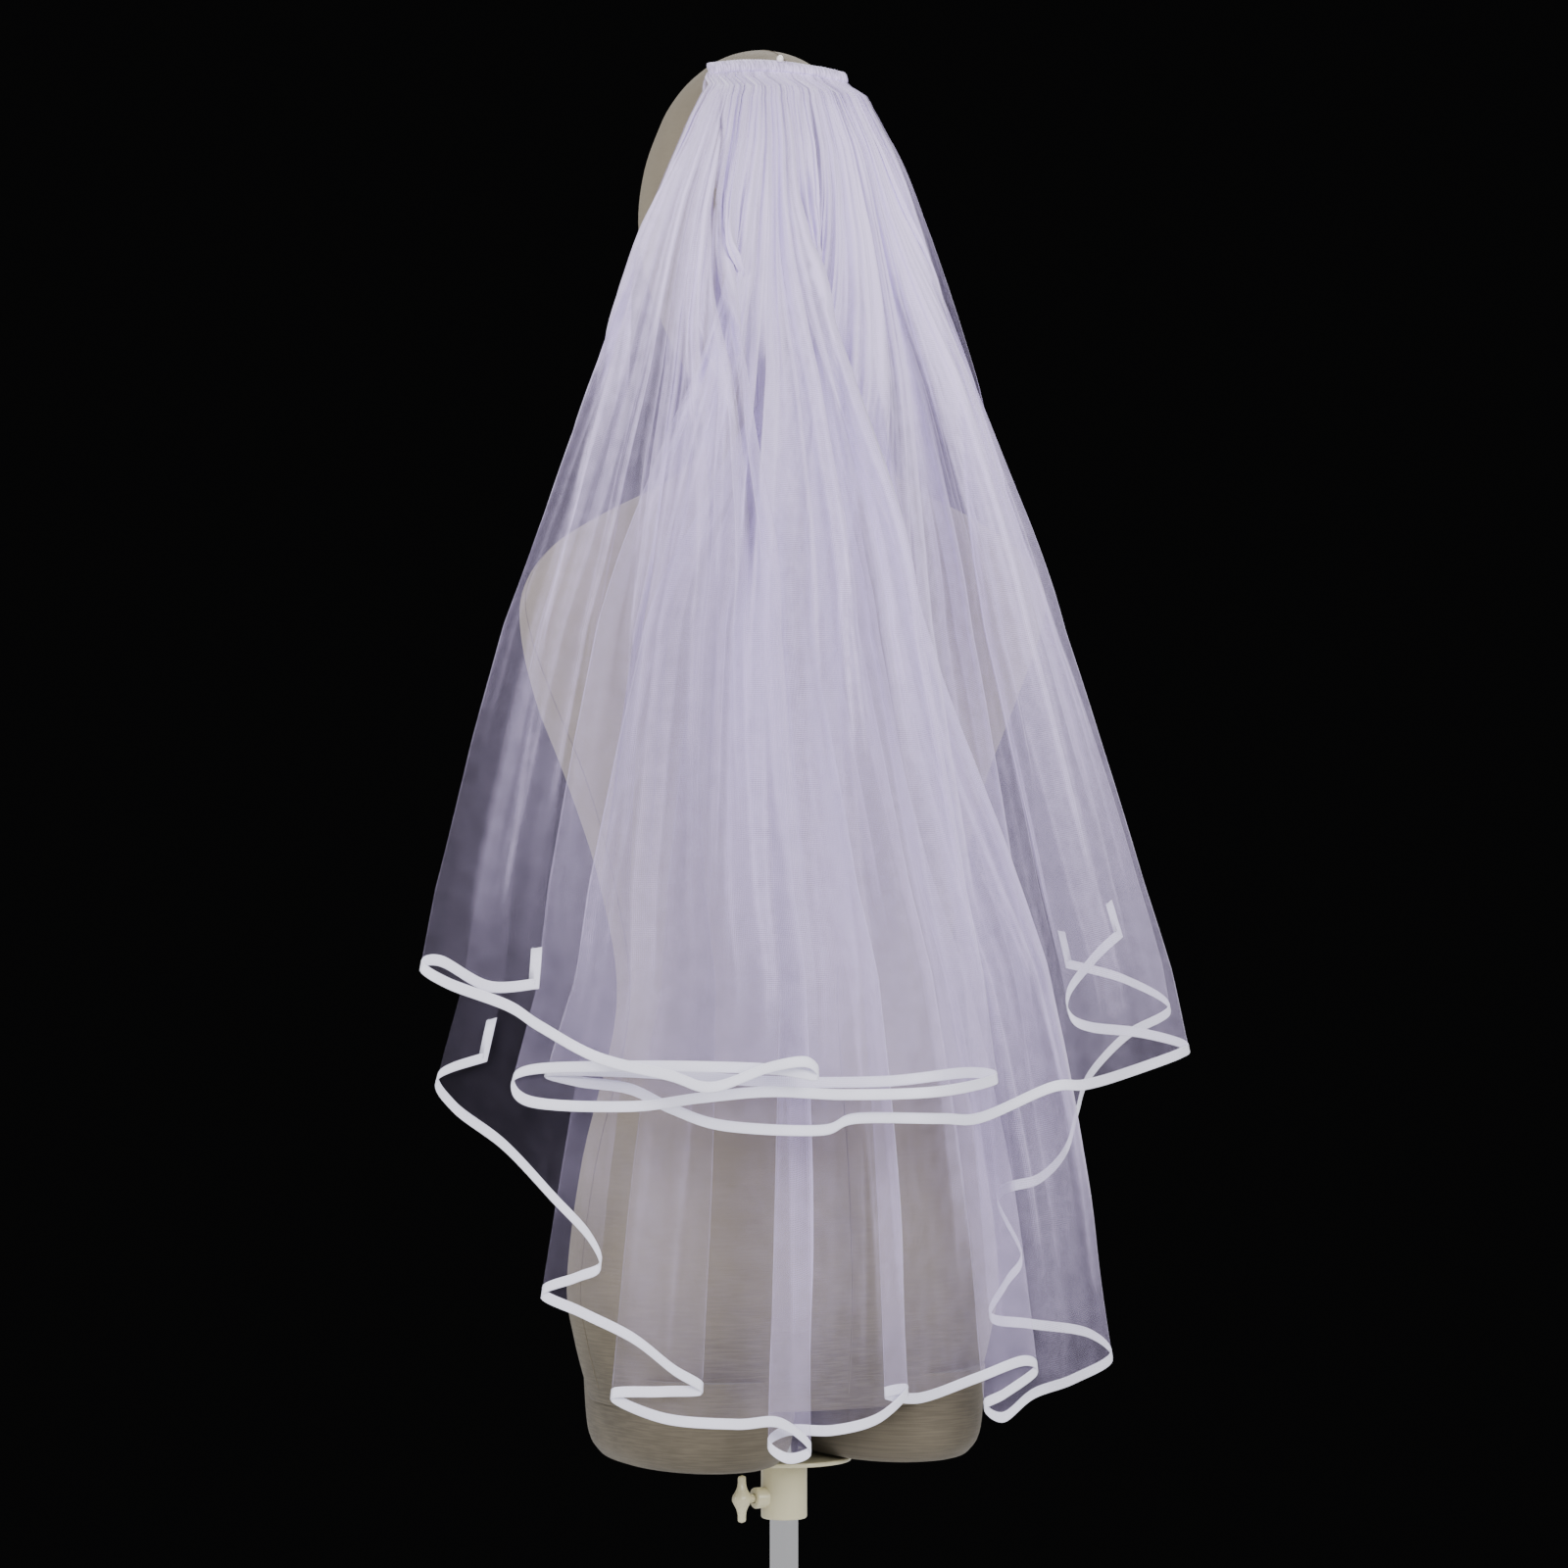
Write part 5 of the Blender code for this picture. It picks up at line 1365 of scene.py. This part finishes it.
class VEIL_OT_stage(Operator):
    """Lay the floor, hang the lights and place the camera"""

    bl_idname = "veil.stage"
    bl_label = "Stage"

    def execute(self, context):
        stage = context.scene.veil_stage
        bpy.ops.mesh.primitive_plane_add(size=stage.floor_size, location=(0, 0, 0))
        floor = context.active_object
        floor.name = "floor"
        make = MaterialMaker("pale floor", roughness=0.7)
        make.paint(make.noise(make.place(), 3.0), (0.66, 0.66, 0.67, 1), (0.70, 0.70, 0.71, 1))
        floor.data.materials.append(make.material)
        self.make_world(context, stage)
        self.add_lights(context, stage)
        camera_data = bpy.data.cameras.new("camera")
        camera_data.sensor_width = SENSOR_WIDTH
        camera_data.lens = SENSOR_WIDTH * SIGHT_DISTANCE / SIGHT_WIDTH
        camera = bpy.data.objects.new("camera", camera_data)
        context.scene.collection.objects.link(camera)
        camera.location = (TOWARDS[0] * SIGHT_DISTANCE, TOWARDS[1] * SIGHT_DISTANCE, SIGHT_HEIGHT)
        camera.rotation_euler = Vector((-TOWARDS[0], -TOWARDS[1], 0)).to_track_quat("-Z", "Y").to_euler()
        context.scene.camera = camera
        return {"FINISHED"}

    def make_world(self, context, stage):
        """A dark plain backdrop for the camera, with soft pale light from all round."""
        world = bpy.data.worlds.new("studio")
        world.use_nodes = True
        make = NodeMaker(world.node_tree)
        world.node_tree.nodes.clear()
        fill = make.add("ShaderNodeBackground", {"Color": (1.0, 0.99, 1.0, 1), "Strength": stage.fill})
        seen = make.add("ShaderNodeBackground", {"Color": (1.0, 1.0, 1.04, 1),
                                                 "Strength": stage.backdrop})
        ray = make.add("ShaderNodeLightPath").outputs["Is Camera Ray"]
        mixed = make.add("ShaderNodeMixShader", {0: ray, 1: fill.outputs[0], 2: seen.outputs[0]})
        make.add("ShaderNodeOutputWorld", {"Surface": mixed.outputs[0]})
        context.scene.world = world

    def add_lights(self, context, stage):
        """Two large softboxes beside the camera and a weaker one above and behind."""
        aim = Vector((0, 0.05, 1.25))
        for name, turn, reach, height, size, power in (
                ("left_softbox", 155.0 - 42.0, 2.6, 2.1, 1.5, 1.0),
                ("right_softbox", 155.0 + 38.0, 2.6, 1.9, 1.5, 1.0),
                ("top_softbox", 155.0 + 170.0, 1.8, 2.9, 1.2, 0.6)):
            light = bpy.data.lights.new(name, "AREA")
            light.energy = stage.softbox * power
            light.size = size
            lamp = bpy.data.objects.new(name, light)
            context.scene.collection.objects.link(lamp)
            angle = math.radians(turn)
            lamp.location = (math.sin(angle) * reach, -math.cos(angle) * reach, height)
            lamp.rotation_euler = (aim - lamp.location).to_track_quat("-Z", "Y").to_euler()


class VEIL_PT_sidebar(Panel):
    bl_label = "Bridal Veil"
    bl_idname = "VEIL_PT_sidebar"
    bl_space_type = "VIEW_3D"
    bl_region_type = "UI"
    bl_category = "Veil"

    def draw(self, context):
        layout = self.layout
        for settings in (context.scene.veil_cloth, context.scene.veil_form, context.scene.veil_stage):
            box = layout.box()
            for name in settings.__annotations__:
                box.prop(settings, name)
        for operator in OPERATORS:
            layout.operator(operator.bl_idname)


OPERATORS = (VEIL_OT_stage, VEIL_OT_upper_tier, VEIL_OT_lower_tier, VEIL_OT_heading,
             VEIL_OT_comb_and_pin, VEIL_OT_dress_form, VEIL_OT_stand)
CLASSES = (VeilClothSettings, VeilFormSettings, VeilStageSettings, *OPERATORS, VEIL_PT_sidebar)


def register():
    for item in CLASSES:
        bpy.utils.register_class(item)
    bpy.types.Scene.veil_cloth = PointerProperty(type=VeilClothSettings)
    bpy.types.Scene.veil_form = PointerProperty(type=VeilFormSettings)
    bpy.types.Scene.veil_stage = PointerProperty(type=VeilStageSettings)


def unregister():
    for name in ("veil_cloth", "veil_form", "veil_stage"):
        delattr(bpy.types.Scene, name)
    for item in reversed(CLASSES):
        bpy.utils.unregister_class(item)


def main():
    register()
    bpy.ops.veil.stage()
    bpy.ops.veil.upper_tier()
    bpy.ops.veil.lower_tier()
    bpy.ops.veil.heading()
    bpy.ops.veil.comb_and_pin()
    bpy.ops.veil.dress_form()
    bpy.ops.veil.stand()


if __name__ == "__main__":
    main()
